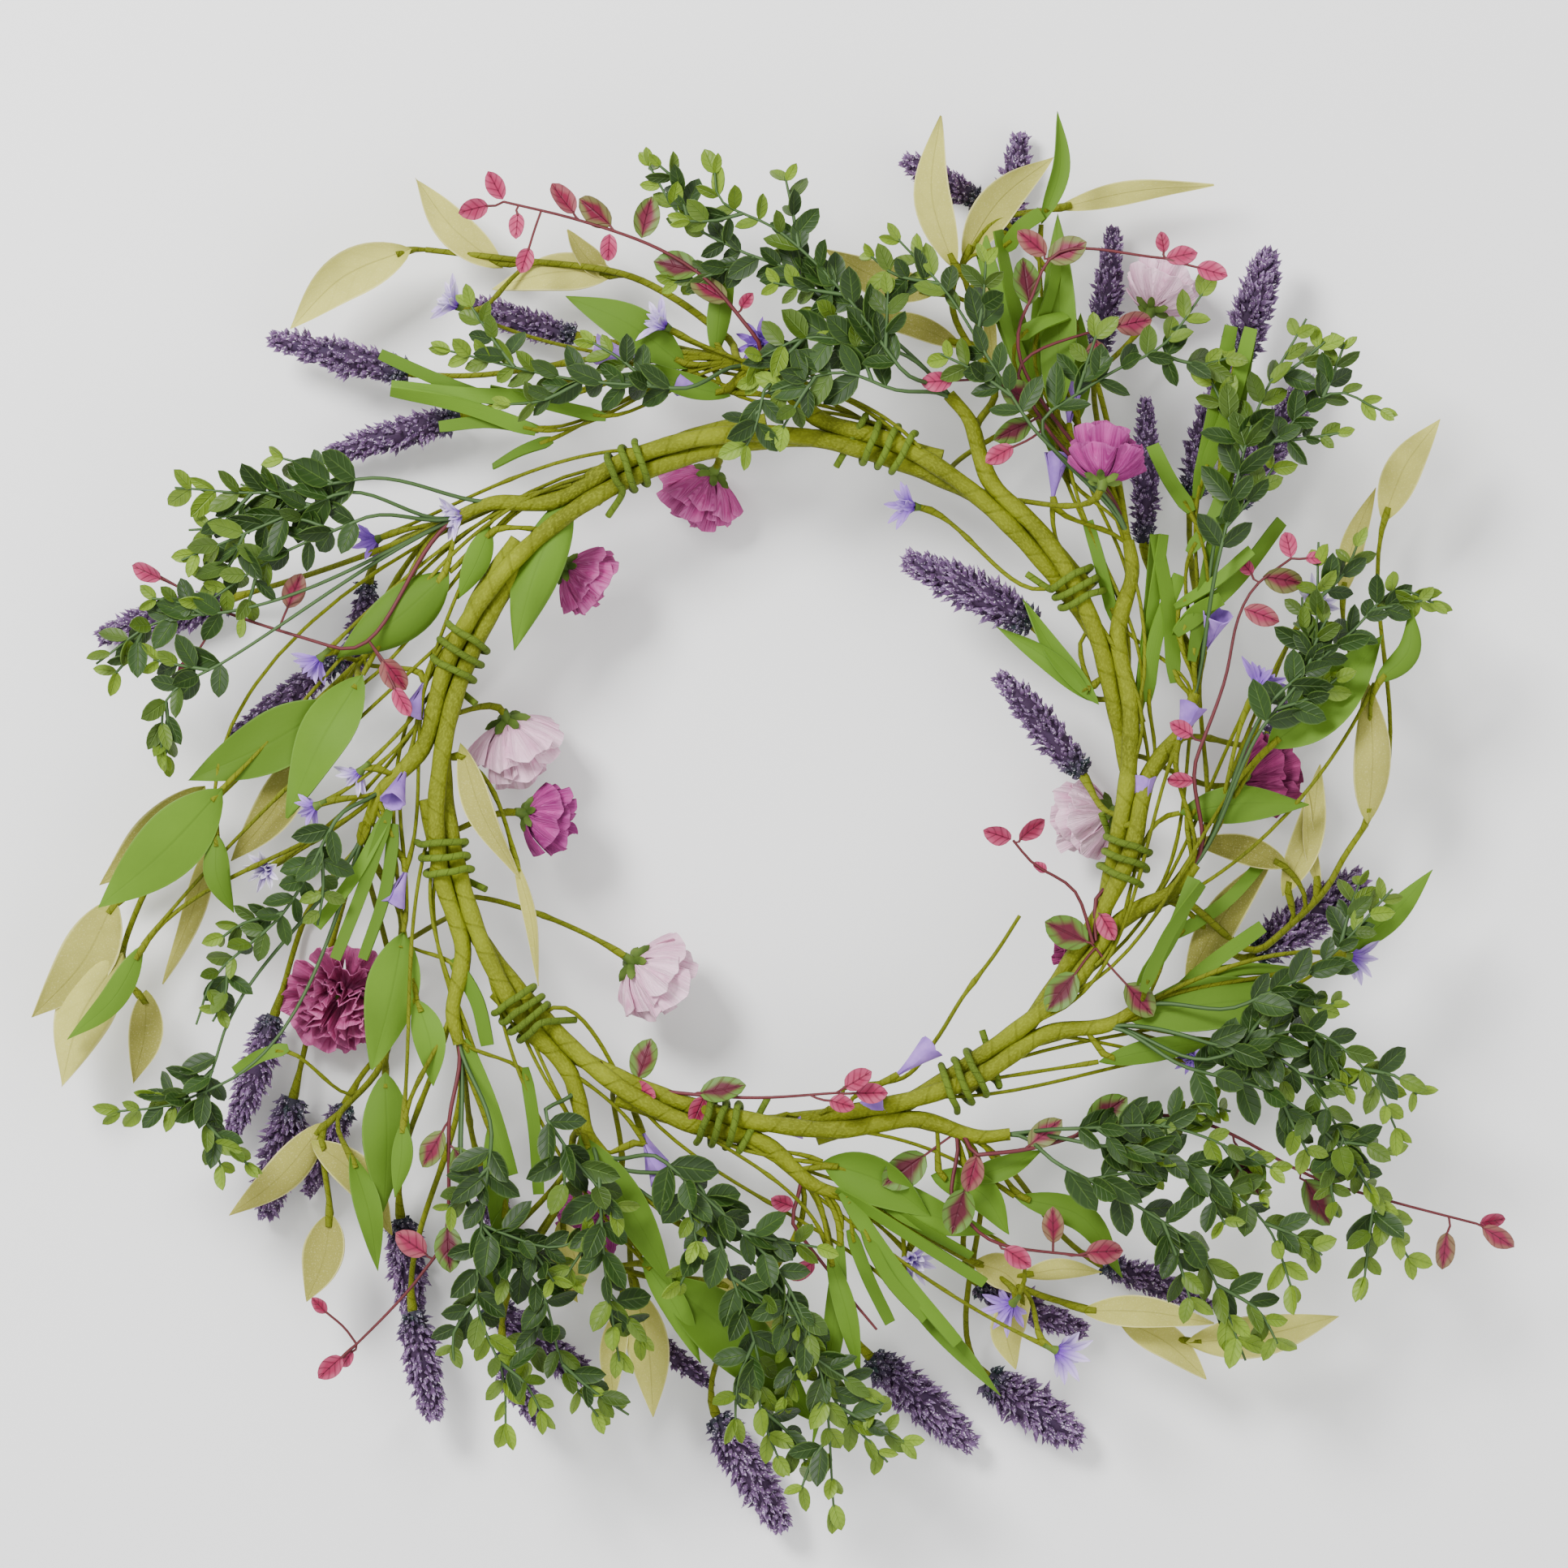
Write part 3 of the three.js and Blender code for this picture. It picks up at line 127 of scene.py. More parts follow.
# Khaki leaves: pick, foot, tip, width, how far the middle bows to the left, and shade from dark to pale.
KHAKI = [
    (0, -133, 214, -178, 184, 18, -5, 1.0), (0, -99, 207, -132, 241, 14, 3, 0.8),
    (0, -57, 205, -103, 199, 15, -3, 0.9), (0, -60, 203, -75, 221, 9, 1, 0.4),
    (1, -172, 28, -200, -14, 16, 3, 0.3), (1, -210, 14, -250, -23, 20, 3, 0.25),
    (1, -207, -5, -226, -60, 9, 2, 0.5), (1, -243, -28, -274, -72, 21, 4, 0.55),
    (1, -240, -48, -263, -98, 22, -4, 0.9), (1, -232, -62, -237, -97, 13, 2, 0.35),
    (2, -165, -111, -201, -146, 14, 3, 0.45), (2, -170, -118, -140, -153, 14, 5, 0.5),
    (2, -163, -145, -172, -178, 16, 2, 0.35),
    (4, -50, -172, -43, -221, 16, 2, 0.75), (4, -54, -178, -58, -216, 10, -2, 0.65),
    (4, -78, -148, -70, -175, 13, 2, 0.6), (4, -88, -160, -71, -178, 10, 2, 0.6),
    (4, -20, -170, 10, -192, 14, 3, 0.55),
    (5, 76, -163, 96, -176, 13, 3, 0.75), (5, 97, -175, 92, -203, 13, -6, 0.85),
    (5, 94, -168, 124, -167, 8, 2, 0.7), (5, 116, -181, 165, -185, 12, 2, 0.7),
    (5, 130, -184, 163, -207, 13, 3, 0.8), (5, 155, -193, 212, -183, 16, -2, 0.95),
    (7, 155, -60, 189, -10, 14, 3, 0.2),
    (8, 193, -16, 155, -6, 11, -2, 0.15), (8, 191, -27, 205, 22, 12, -3, 0.6),
    (8, 205, -25, 200, 13, 5, 2, 0.6), (8, 222, 0, 221, 55, 14, -2, 0.55),
    (8, 213, 84, 226, 125, 9, 2, 0.6), (8, 228, 112, 249, 150, 14, 3, 0.75),
    (11, 69, 206, 64, 263, 14, 6, 0.8), (11, 62, 197, 21, 214, 14, 3, 0.35),
    (11, 72, 177, 30, 188, 9, -3, 0.3), (11, 78, 205, 84, 163, 5, 1, 0.5),
    (10, 72, 210, 106, 248, 15, 4, 0.65), (10, 107, 229, 166, 238, 9, 2, 0.85),
]
# The wrapped stems that khaki leaves stand on, after their pick.
KHAKI_STEMS = [
    (0, (-15, 180), (-35, 195), (-57, 205), (-95, 210), (-128, 214)),
    (1, (-150, 62), (-205, 10), (-225, -12), (-240, -45), (-238, -60)),
    (2, (-136, -40), (-142, -85), (-158, -106), (-166, -116), (-163, -145)),
    (4, (-73, -120), (-70, -140), (-55, -165), (-22, -170)),
    (5, (45, -145), (76, -163), (100, -175), (128, -183), (155, -193)),
    (8, (186, -45), (205, -27), (214, -12), (222, 0)),
    (11, (84, 163), (78, 185), (72, 205)),
    (10, (72, 208), (84, 224), (108, 229)),
]

# Bright lance leaves: pick, foot, tip, width, bow.
BRIGHT = [
    (0, -20, 172, -13, 214, 9, 1), (0, -30, 168, -75, 195, 16, -3), (0, -14, 158, -50, 171, 9, 2),
    (1, -118, 93, -160, 61, 20, 2), (1, -160, 45, -215, 16, 22, 2), (1, -150, 55, -178, 2, 20, -2),
    (1, -202, 13, -248, -31, 24, 2), (1, -204, -4, -198, -33, 10, -3),
    (2, -135, -40, -147, -91, 20, 1), (2, -130, -65, -124, -97, 12, 2), (2, -142, -92, -143, -144, 18, 1),
    (2, -155, -122, -145, -166, 10, 2), (2, -232, -45, -260, -80, 10, 4),
    (3, -135, -110, -138, -138, 8, 1), (3, -103, -110, -100, -160, 9, 1),
    (3, -97, -140, -100, -185, 10, -2),
    (4, -70, -115, -35, -172, 14, 2), (4, -40, -168, 18, -222, 24, 3), (4, -47, -160, -25, -200, 10, 2),
    (5, 20, -125, 60, -145, 18, 3), (5, 27, -150, 16, -231, 8, 2), (5, 22, -158, 34, -205, 8, 1),
    (5, 50, -175, 86, -212, 7, 1), (5, 34, -130, 84, -152, 14, -3),
    (6, 60, -130, 89, -152, 13, 6), (6, 72, -131, 101, -121, 9, -1), (6, 91, -138, 131, -168, 11, 9),
    (7, 132, -72, 206, -64, 20, 2), (7, 122, -88, 170, -80, 9, 1), (7, 212, -48, 246, -17, 10, -2),
    (8, 152, 4, 200, 7, 14, 2), (8, 184, 28, 227, 70, 20, -3), (8, 224, 52, 237, 80, 9, -6),
    (10, 106, 150, 107, 226, 14, -1), (10, 101, 222, 107, 264, 7, -4), (10, 114, 148, 116, 190, 10, 0),
]
# Inside the ring: ring angle of the root, then the same.
INNER_BRIGHT = [
    (122, -74, 121, -94, 64, 18, -2), (130, -103, 110, -115, 83, 10, 1),
    (26, 122, 44, 94, 83, 8, 2), (18, 120, 45, 84, 73, 8, -2),
]
# Olive leaves inside the ring: the same with the shade.
INNER_KHAKI = [(176, -114, 30, -92, -20, 11, -3, 0.5), (176, -94, -12, -85, -60, 5, 2, 0.6)]

# Grass blades: pick, foot, tip, width.
GRASS = [
    (0, -60, 150, -103, 161, 5), (0, -86, 145, -140, 160, 6), (0, -100, 156, -144, 174, 5),
    (0, -85, 146, -122, 147, 5), (0, -80, 142, -102, 132, 5), (0, -84, 158, -140, 162, 6),
    (2, -140, 5, -167, -38, 5), (2, -140, 5, -160, -50, 5), (2, -138, 0, -150, -50, 5),
    (2, -178, -83, -198, -92, 5), (2, -117, -50, -104, -82, 6),
    (3, -113, -80, -95, -130, 6), (3, -90, -90, -85, -137, 5),
    (5, 25, -135, 80, -170, 5), (5, 27, -136, 70, -192, 6), (5, 30, -150, 45, -185, 5),
    (5, 35, -150, 58, -183, 5), (5, 30, -132, 75, -160, 5),
    (7, 137, -60, 157, -20, 6), (7, 138, -62, 160, -22, 5), (7, 150, -42, 187, -10, 5),
    (7, 140, -75, 183, -38, 6), (7, 155, -58, 197, -55, 6),
    (9, 137, 42, 143, 107, 5), (9, 137, 42, 146, 107, 5), (9, 140, 45, 152, 92, 6),
    (9, 150, 70, 190, 112, 6), (9, 150, 70, 167, 83, 6), (9, 150, 80, 178, 101, 5),
    (9, 155, 100, 168, 124, 5), (9, 158, 120, 171, 184, 6), (9, 160, 128, 178, 183, 6),
    (9, 165, 120, 174, 144, 5), (9, 156, 115, 142, 140, 6), (9, 128, 75, 118, 112, 5),
    (9, 150, 52, 143, 107, 6), (9, 156, 60, 178, 183, 6),
    (10, 98, 160, 78, 218, 6), (10, 100, 165, 85, 220, 6), (10, 98, 178, 108, 212, 5),
    (10, 100, 150, 100, 195, 5), (10, 92, 180, 110, 188, 6), (10, 88, 213, 101, 226, 6),
    (10, 112, 126, 79, 218, 6),
]

# Starry flowers: pick, middle of the flower, end of its calyx, radius, and share of white.
STARRY = [
    (0, -121, 195, -114, 191, 11, 0.7), (0, -44, 187, -37, 183, 11, 0.6), (0, -9, 181, -2, 177, 11, 0.0),
    (1, -118, 113, -112, 115, 10, 0.7), (1, -151, 103, -144, 106, 10, 0.0),
    (1, -170, 57, -165, 62, 11, 0.2),
    (2, -155, 15, -150, 20, 9, 0.7), (2, -172, 4, -166, 7, 9, 0.2), (2, -190, -19, -185, -16, 10, 1.0),
    (4, -25, -153, -31, -149, 11, 0.1),
    (5, 57, -166, 52, -160, 11, 0.7), (5, 86, -183, 91, -177, 12, 0.2),
    (5, 112, -197, 105, -194, 13, 0.5),
    (7, 191, -86, 183, -85, 12, 0.8), (7, 222, -51, 214, -49, 11, 0.5), (7, 153, -86, 158, -88, 7, 0.1),
    (8, 184, 56, 180, 49, 12, 0.1), (8, 205, 86, 200, 79, 12, 0.9),
]
INNER_STARRY = [(36, 46, 118, 55, 117, 11, 0.2)]

# Trumpet flowers: pick, middle of the mouth, end of the calyx.
TRUMPETS = [
    (0, -62, 175, -48, 173), (0, -32, 163, -17, 160),
    (1, -131, 42, -127, 53),
    (2, -138, 10, -134, 21), (2, -138, -28, -134, -17),
    (4, -40, -130, -46, -118),
    (8, 156, 42, 151, 30), (8, 165, 76, 161, 63),
    (10, 107, 135, 105, 120), (10, 113, 163, 111, 147),
]
INNER_TRUMPETS = [
    (224, -42, -126, -47, -114), (272, 10, -112, -2, -113), (276, 41, -103, 29, -106),
    (281, 59, -83, 47, -93), (352, 138, 15, 138, 1),
]

# Wine-red sprays: pick, stem, then leaves as middle and half length.
WINE = [
    (0, [(-5, 180), (-22, 200), (-42, 213), (-70, 223), (-98, 230)],
     [(-101, 236, 6), (-109, 227, 6), (-76, 231, 7), (-64, 226, 8), (-45, 224, 8), (-34, 206, 9),
      (-22, 197, 8), (-93, 221, 5), (-59, 213, 5), (-90, 208, 5), (-8, 193, 4)]),
    (1, [(-160, 65), (-200, 78), (-226, 92)],
     [(-230, 93, 6), (-175, 86, 7), (-215, 57, 5), (-138, 55, 7), (-135, 45, 6)]),
    (3, [(-118, -112), (-119, -150), (-128, -166), (-140, -180), (-158, -198)],
     [(-124, -120, 8), (-112, -127, 9), (-118, -157, 9), (-132, -155, 7), (-162, -201, 6),
      (-156, -198, 4), (-166, -178, 4)]),
    (5, [(10, -150), (30, -175), (40, -187)],
     [(5, -140, 5), (12, -165, 6)]),
    (6, [(78, -122), (100, -119), (140, -108), (165, -112), (200, -130), (228, -139), (262, -148)],
     [(50, -128, 10), (75, -129, 7), (70, -143, 9), (102, -114, 8), (125, -106, 9), (177, -128, 10),
      (209, -126, 10), (203, -140, 10), (250, -158, 7), (270, -153, 7), (268, -147, 5), (128, -112, 5)]),
    (6, [(70, -143), (85, -155), (120, -160)],
     [(105, -148, 7), (124, -158, 7), (92, -160, 6)]),
    (8, [(158, 25), (168, 52), (173, 75), (180, 88), (193, 98)],
     [(190, 90, 8), (192, 103, 5), (176, 95, 4), (182, 77, 7), (202, 98, 4), (152, 16, 5), (152, 35, 5)]),
    (10, [(100, 150), (92, 165), (100, 175), (130, 185)],
     [(135, 185, 7), (122, 172, 7), (92, 158, 8), (90, 145, 8), (62, 163, 6), (85, 136, 6)]),
    (10, [(95, 190), (108, 211), (146, 208)],
     [(95, 200, 9), (97, 214, 7), (110, 211, 8), (152, 209, 6), (163, 203, 6), (145, 214, 4)]),
]
# Inside the ring the angle of the root comes first.
INNER_WINE = [
    (237, [(-60, -93), (-45, -98), (-8, -101), (25, -99)],
     [(-46, -87, 8), (-46, -99, 6), (-17, -98, 9), (-26, -106, 6), (27, -103, 5), (33, -94, 6),
      (38, -99, 6)]),
    (341, [(120, -45), (113, -25), (98, -15), (90, -6)],
     [(110, -40, 9), (108, -62, 9), (125, -38, 6), (137, -65, 8), (97, -2, 6), (84, -4, 6), (100, -16, 3)]),
]

# The bare twig inside the ring: ring angle of its root, and its places.
TWIG = (281, (50, -94), (62, -80), (72, -64), (84, -48), (93, -34))

# Boxwood sprays: pick, leaf length, then the points of the stem.
BOXWOOD = [
    (0, 13, (-34, 160), (-75, 164), (-117, 174)), (0, 13, (-2, 158), (-5, 145), (-10, 136)),
    (11, 13, (48, 168), (27, 196), (4, 218), (-17, 229), (-20, 243)),
    (11, 12, (27, 192), (8, 204), (-12, 212), (-32, 224), (-44, 243)),
    (11, 15, (42, 175), (15, 179), (-6, 170)), (11, 14, (45, 160), (25, 166), (-2, 158)),
    (1, 14, (-150, 127), (-185, 122), (-219, 124)), (1, 14, (-160, 121), (-190, 108), (-216, 97)),
    (1, 13, (-200, 78), (-226, 74), (-248, 59)), (1, 13, (-200, 60), (-221, 47), (-224, 26)),
    (1, 13, (-150, 112), (-182, 98), (-212, 78)),
    (2, 12, (-160, 0), (-178, -32), (-203, -55), (-211, -74)),
    (2, 13, (-203, -84), (-208, -105), (-201, -129)), (2, 12, (-206, -98), (-222, -104), (-240, -106)),
    (3, 13, (-102, -118), (-106, -150), (-107, -178), (-98, -203), (-97, -221)),
    (3, 13, (-104, -150), (-84, -172), (-76, -200), (-63, -219)),
    (3, 12, (-100, -150), (-80, -156), (-62, -150)),
    (4, 14, (-62, -135), (-60, -165), (-55, -198)),
    (4, 14, (-38, -124), (-14, -146), (6, -168), (20, -205), (24, -252)),
    (4, 14, (-24, -135), (-14, -165), (-4, -196), (-3, -216), (5, -238)),
    (4, 12, (10, -180), (24, -212), (44, -236)), (4, 15, (-82, -108), (-70, -125), (-54, -143)),
    (6, 15, (108, -126), (138, -142), (160, -160), (176, -198)),
    (6, 13, (120, -118), (152, -124), (182, -146), (194, -174)),
    (6, 12, (112, -112), (150, -112), (188, -128)),
    (7, 14, (155, -90), (187, -100), (213, -122), (236, -160)),
    (7, 13, (165, -86), (198, -76), (221, -92), (231, -112)), (7, 12, (176, -66), (203, -52), (230, -24)),
    (7, 12, (160, -80), (196, -92), (224, -140)),
    (8, 12, (190, 50), (214, 70), (231, 86), (248, 80)), (8, 13, (182, 36), (200, 62), (203, 104)),
    (9, 14, (166, 100), (179, 150), (198, 186)), (9, 11, (180, 135), (206, 158), (225, 152)),
    (10, 13, (94, 150), (81, 171), (66, 195), (47, 216)),
    (10, 14, (104, 152), (126, 166), (146, 177), (161, 197)),
]

# Paper blooms: node, ring angle of the root, middle, end of the calyx, radius, height, colour, and how it is
# seen. Those without a node are part of a pick.
BLOOMS = [
    ("bloom_left", 202, -162, -70, -156, -58, 21, 14, "carnation", "open"),
    ("bloom_bottom_left", 241, -68, -148, -60, -141, 15, 4, "rose", "side"),
    ("bloom_upper_right", 52, 124, 135, 122, 122, 15, 60, "rose", "side"),
    ("bloom_right", 4, 186, 18, 170, 13, 17, 4, "wine", "side"),
    ("bloom_top_right", 62, 147, 200, 141, 188, 15, 4, "pink", "side"),
    ("bloom_inner_top", 103, -26, 122, -20, 132, 16, 0, "magenta", "side"),
    ("bloom_inner_left", 169, -94, 28, -98, 40, 18, 6, "pink", "side"),
    ("bloom_inner_lower_left", 200, -42, -58, -54, -49, 18, 8, "pink", "side"),
    ("bloom_inner_right", 356, 118, 2, 126, 4, 16, 2, "pink", "side"),
    ("", 137, -68, 91, -77, 96, 14, 14, "magenta", "side"),
    ("", 189, -82, 2, -92, 4, 14, 16, "rose", "side"),
    ("", 331, 112, -48, 118, -48, 9, 28, "wine", "side"),
]


def rgb(red, green, blue):
    """A screen colour of 0 to 255 as the linear colour that a material takes."""
    parts = [c / 255 for c in (red, green, blue)]
    return tuple(c / 12.92 if c <= 0.04045 else ((c + 0.055) / 1.055) ** 2.4 for c in parts)


def toned(colour, share, more=0.0):
    """A linear colour made lighter or darker."""
    return tuple(min(1, c * share + more) for c in colour)


class WreathSizes(bpy.types.PropertyGroup):
    """Sizes of the wreath's stems, leaves and flowers."""

    stem_radius: bpy.props.FloatProperty(
        name="Ring stem radius", description="Half the thickness of a wrapped ring stem",
        default=3.25 * MM, unit="LENGTH")
    wire_radius: bpy.props.FloatProperty(
        name="Tie wire radius", description="Half the thickness of the paper wire of the ties",
        default=1.35 * MM, unit="LENGTH")
    thin_stem_radius: bpy.props.FloatProperty(
        name="Thin stem radius", description="Half the thickness of a flower's own stem",
        default=0.85 * MM, unit="LENGTH")
    leaf_thickness: bpy.props.FloatProperty(
        name="Leaf thickness", description="Thickness of the foam leaves", default=0.8 * MM, unit="LENGTH")
    petal_thickness: bpy.props.FloatProperty(
        name="Petal thickness", description="Thickness of paper and plastic petals",
        default=0.35 * MM, unit="LENGTH")
    florets_per_head: bpy.props.IntProperty(
        name="Florets on a head", description="Bud tips on a lavender head of middle size", default=430)
    tape_pitch: bpy.props.FloatProperty(
        name="Tape pitch", description="Distance between two turns of the paper tape",
        default=11 * MM, unit="LENGTH")


class WreathColours(bpy.types.PropertyGroup):
    """Main colours of the wreath."""

    tape: bpy.props.FloatVectorProperty(
        name="Paper tape", description="Tape round the stems", default=rgb(122, 130, 24), subtype="COLOR")
    bright: bpy.props.FloatVectorProperty(
        name="Bright leaf", description="Bright foam leaves", default=rgb(88, 122, 34), subtype="COLOR")
    khaki: bpy.props.FloatVectorProperty(
        name="Khaki leaf", description="Pale side of the olive leaves",
        default=rgb(194, 190, 100), subtype="COLOR")
    boxwood: bpy.props.FloatVectorProperty(
        name="Boxwood leaf", description="Old boxwood leaves", default=rgb(32, 56, 12), subtype="COLOR")
    lavender: bpy.props.FloatVectorProperty(
        name="Lavender", description="Lavender florets", default=rgb(100, 72, 110), subtype="COLOR")
    wine: bpy.props.FloatVectorProperty(
        name="Wine leaf", description="Wine-red leaves", default=rgb(124, 20, 54), subtype="COLOR")
    magenta: bpy.props.FloatVectorProperty(
        name="Magenta bloom", description="Darker paper blooms", default=rgb(178, 66, 132), subtype="COLOR")
    pink: bpy.props.FloatVectorProperty(
        name="Pink bloom", description="Pale paper blooms", default=rgb(232, 190, 210), subtype="COLOR")
    violet: bpy.props.FloatVectorProperty(
        name="Starry flower", description="Middle of the starry flowers",
        default=rgb(104, 52, 168), subtype="COLOR")


def unit(vectors):
    """Vectors of length 1."""
    return vectors / np.maximum(np.linalg.norm(vectors, axis=-1, keepdims=True), 1e-9)


class Line:
    """A line through places, with a frame at any distance along it."""

    def __init__(self, places, smooth=True):
        places = np.asarray(places, float)
        self.places = through(places) if smooth and len(places) > 2 else places
        gaps = np.linalg.norm(np.diff(self.places, axis=0), axis=1)
        self.reach = np.concatenate([[0.0], np.cumsum(gaps)])
        self.length = float(self.reach[-1])

    def at(self, distance):
        """Places at distances along the line."""
        return np.stack([np.interp(distance, self.reach, self.places[:, k]) for k in range(3)], -1)

    def frame(self, distance):
        """Places, and directions to the right, ahead and out of the top of the line."""
        distance = np.asarray(distance, float)
        ahead = unit(self.at(np.minimum(distance + 1, self.length)) - self.at(np.maximum(distance - 1, 0)))
        right = np.cross(ahead, UP)
        steep = np.linalg.norm(right, axis=-1, keepdims=True) < 0.08
        right = unit(np.where(steep, np.array([1.0, 0.0, 0.0]), right))
        top = np.cross(right, ahead)
        past = np.maximum(distance - self.length, 0) + np.minimum(distance, 0)
        return self.at(distance) + ahead * past[..., None], right, ahead, top


def through(places, samples=10):
    """A smooth line through the places."""
    ends = np.vstack([2 * places[0] - places[1], places, 2 * places[-1] - places[-2]])
    share = np.linspace(0, 1, samples, endpoint=False)[:, None]
    pieces = []
    for a, b, c, d in zip(ends, ends[1:], ends[2:], ends[3:]):
        bend = (2 * a - 5 * b + 4 * c - d) * share ** 2 + (3 * b - a - 3 * c + d) * share ** 3
        pieces.append(0.5 * (2 * b + (c - a) * share + bend))
    return np.vstack([*pieces, places[-1:]])


def sweep(start, leaving, end, arriving, samples=14):
    """A stem that leaves one place in a direction and arrives at another in a direction."""
    handle = np.linalg.norm(end - start) / 3
    corners = [start, start + leaving * handle, end - arriving * handle, end]
    t = np.linspace(0, 1, samples)[:, None]
    weights = [(1 - t) ** 3, 3 * t * (1 - t) ** 2, 3 * t ** 2 * (1 - t), t ** 3]
    return Line(sum(w * c for w, c in zip(weights, corners)), smooth=False)


class Form:
    """A closed shape: its corners, faces by corner count, and the values that its finish reads."""

    def __init__(self, corners, faces, along, across, shade, part, finish):
        self.corners = corners
        self.faces = faces
        self.values = {
            "along": along, "across": across,
            "shade": np.broadcast_to(shade, len(corners)), "part": np.broadcast_to(part, len(corners)),
        }
        self.finish = finish


def arrays_of(bm):
    """The corners and the faces, by corner count, of a shape made with mesh operators."""
    bm.verts.index_update()
    corners = np.array([v.co for v in bm.verts], float)
    faces = {}
    for face in bm.faces:
        faces.setdefault(len(face.verts), []).append([v.index for v in face.verts])
    bm.free()
    return corners, {count: np.array(rows) for count, rows in faces.items()}


def sheet_form(columns, rows):
    """A flat closed sheet: x from -1 to 1 across it, y from 0 to 1 along it, z -1 or 1 on its two sides."""
    bm = bmesh.new()
    bmesh.ops.create_grid(bm, x_segments=columns, y_segments=rows, size=1)
    bmesh.ops.solidify(bm, geom=bm.faces[:], thickness=0.1)
    bmesh.ops.recalc_face_normals(bm, faces=bm.faces[:])
    corners, faces = arrays_of(bm)
    corners[:, 1] = (corners[:, 1] + 1) / 2
    corners[:, 2] = np.where(corners[:, 2] > corners[:, 2].mean(), 1.0, -1.0)
    return corners, faces


def rod_form(sides, rows):
    """A closed rod of radius 1 along z from 0 to 1, cut in rows."""
    bm = bmesh.new()
    bmesh.ops.create_cone(bm, cap_ends=True, segments=sides, radius1=1, radius2=1, depth=1)
    bmesh.ops.translate(bm, verts=bm.verts[:], vec=(0, 0, 0.5))
    upright = [e for e in bm.edges if abs(e.verts[0].co.z - e.verts[1].co.z) > 0.5]
    bmesh.ops.subdivide_edges(bm, edges=upright, cuts=rows - 1, use_grid_fill=True)
    bmesh.ops.recalc_face_normals(bm, faces=bm.faces[:])
    return arrays_of(bm)


def bud_form():
    """A bud of eight faces along z from 0 to 1, with radius 1."""
    bm = bmesh.new()
    bmesh.ops.create_uvsphere(bm, u_segments=4, v_segments=2, radius=1)
    bmesh.ops.translate(bm, verts=bm.verts[:], vec=(0, 0, 1))
    bmesh.ops.scale(bm, verts=bm.verts[:], vec=(1, 1, 0.5))
    bmesh.ops.recalc_face_normals(bm, faces=bm.faces[:])
    return arrays_of(bm)


# Sheets by their cuts across and along, rods by their sides and rows, and one bud.
SHEETS = {size: sheet_form(*size) for size in [(8, 18), (4, 6), (6, 9), (2, 14), (2, 5), (14, 9), (4, 8)]}
RODS = {}
BUD = bud_form()


def rod(line, radius, sides, each, finish, shade=0.5):
    """A stem along a line, cut at about each so many mm. The radius is a number or a rule of the distance."""
    rows = max(2, round(line.length / each))
    if (sides, rows) not in RODS:
        RODS[sides, rows] = rod_form(sides, rows)
    corners, faces = RODS[sides, rows]
    distance = corners[:, 2] * line.length
    place, right, _, top = line.frame(distance)
    thick = (radius(distance) if callable(radius) else radius) * np.ones(len(corners))
    x, y = corners[:, 0], corners[:, 1]
    points = place + right * (x * thick)[:, None] - top * (y * thick)[:, None]
    return Form(points, faces, distance, np.arctan2(y, x) / math.tau + 0.5, shade, 0.5, finish)


OUTLINES = {
    "lance": lambda v: np.sin(np.pi * v ** 0.8) ** 0.95,
    "oval": lambda v: np.sin(np.pi * np.clip(v, 0, 1) ** 0.95) ** 0.6,
    "strip": lambda v: np.interp(v, [0, 0.12, 0.9, 1], [0.55, 1, 0.9, 0.82]),
    "pointed": lambda v: np.interp(v, [0, 0.25, 0.6, 0.85, 1], [0.35, 0.7, 1, 0.7, 0.05]),
}


def leaf(line, width, outline, size, thick, *, finish, cup, roll=0.0, twist=0.0, wave=0.0, phase=0.0,
         shade=0.5, part=0.5):
    """A thin leaf along a line, cupped across, twisted along and wavy at its edges."""
    corners, faces = SHEETS[size]
    u, v, w = corners.T
    half = np.maximum(OUTLINES[outline](v) * width / 2, 0.12)
    place, right, _, top = line.frame(v * line.length)
    turn = roll + twist * (v - 0.4)
    lift = cup * half * (u ** 2 - 0.3) + wave * np.abs(u) * np.sin(9 * v + phase + 1.3 * u)
    lift += w * thick / 2 * np.clip(half, 0.25, 1)
    aside = u * half
    points = place + right * (aside * np.cos(turn) - lift * np.sin(turn))[:, None]
    points += top * (aside * np.sin(turn) + lift * np.cos(turn))[:, None]
    return Form(points, faces, v.copy(), u.copy(), shade, part, finish)


def cup_petal(base, ahead, side, reach, depth, angle, spread, ruffle, waves, phase, thick, finish,
              size=(14, 9), swell=0.8, bend=1.6, shade=0.5):
    """A petal on a bowl round an axis: it starts at the base and opens ahead, ruffled towards its edge."""
    corners, faces = SHEETS[size]
    u, v, w = corners.T
    rise = v * (1 - 0.1 * u ** 2 * v)
    turn = angle + u * spread * np.minimum(1, 0.55 + 0.6 * v)
    out = reach * rise ** swell * (1 + 0.05 * np.cos(waves * u * 2 + phase) * v)
    forward = depth * rise ** bend
    fold = ruffle * v ** 1.6 * (np.sin(waves * u * 2.6 + phase) + 0.45 * np.sin(waves * u * 6.1 + 2 * phase))
    fold += w * thick / 2
    lean = math.atan2(depth, reach)
    out = out + 0.4 - fold * math.sin(lean)
    forward = forward + fold * math.cos(lean)
    other = np.cross(ahead, side)
    points = base + ahead * forward[:, None]
    points += side * (out * np.cos(turn))[:, None] + other * (out * np.sin(turn))[:, None]
    crease = np.sin(waves * u * 2.6 + phase) * v
    return Form(points, faces, v.copy(), crease, shade, 0.5, finish)


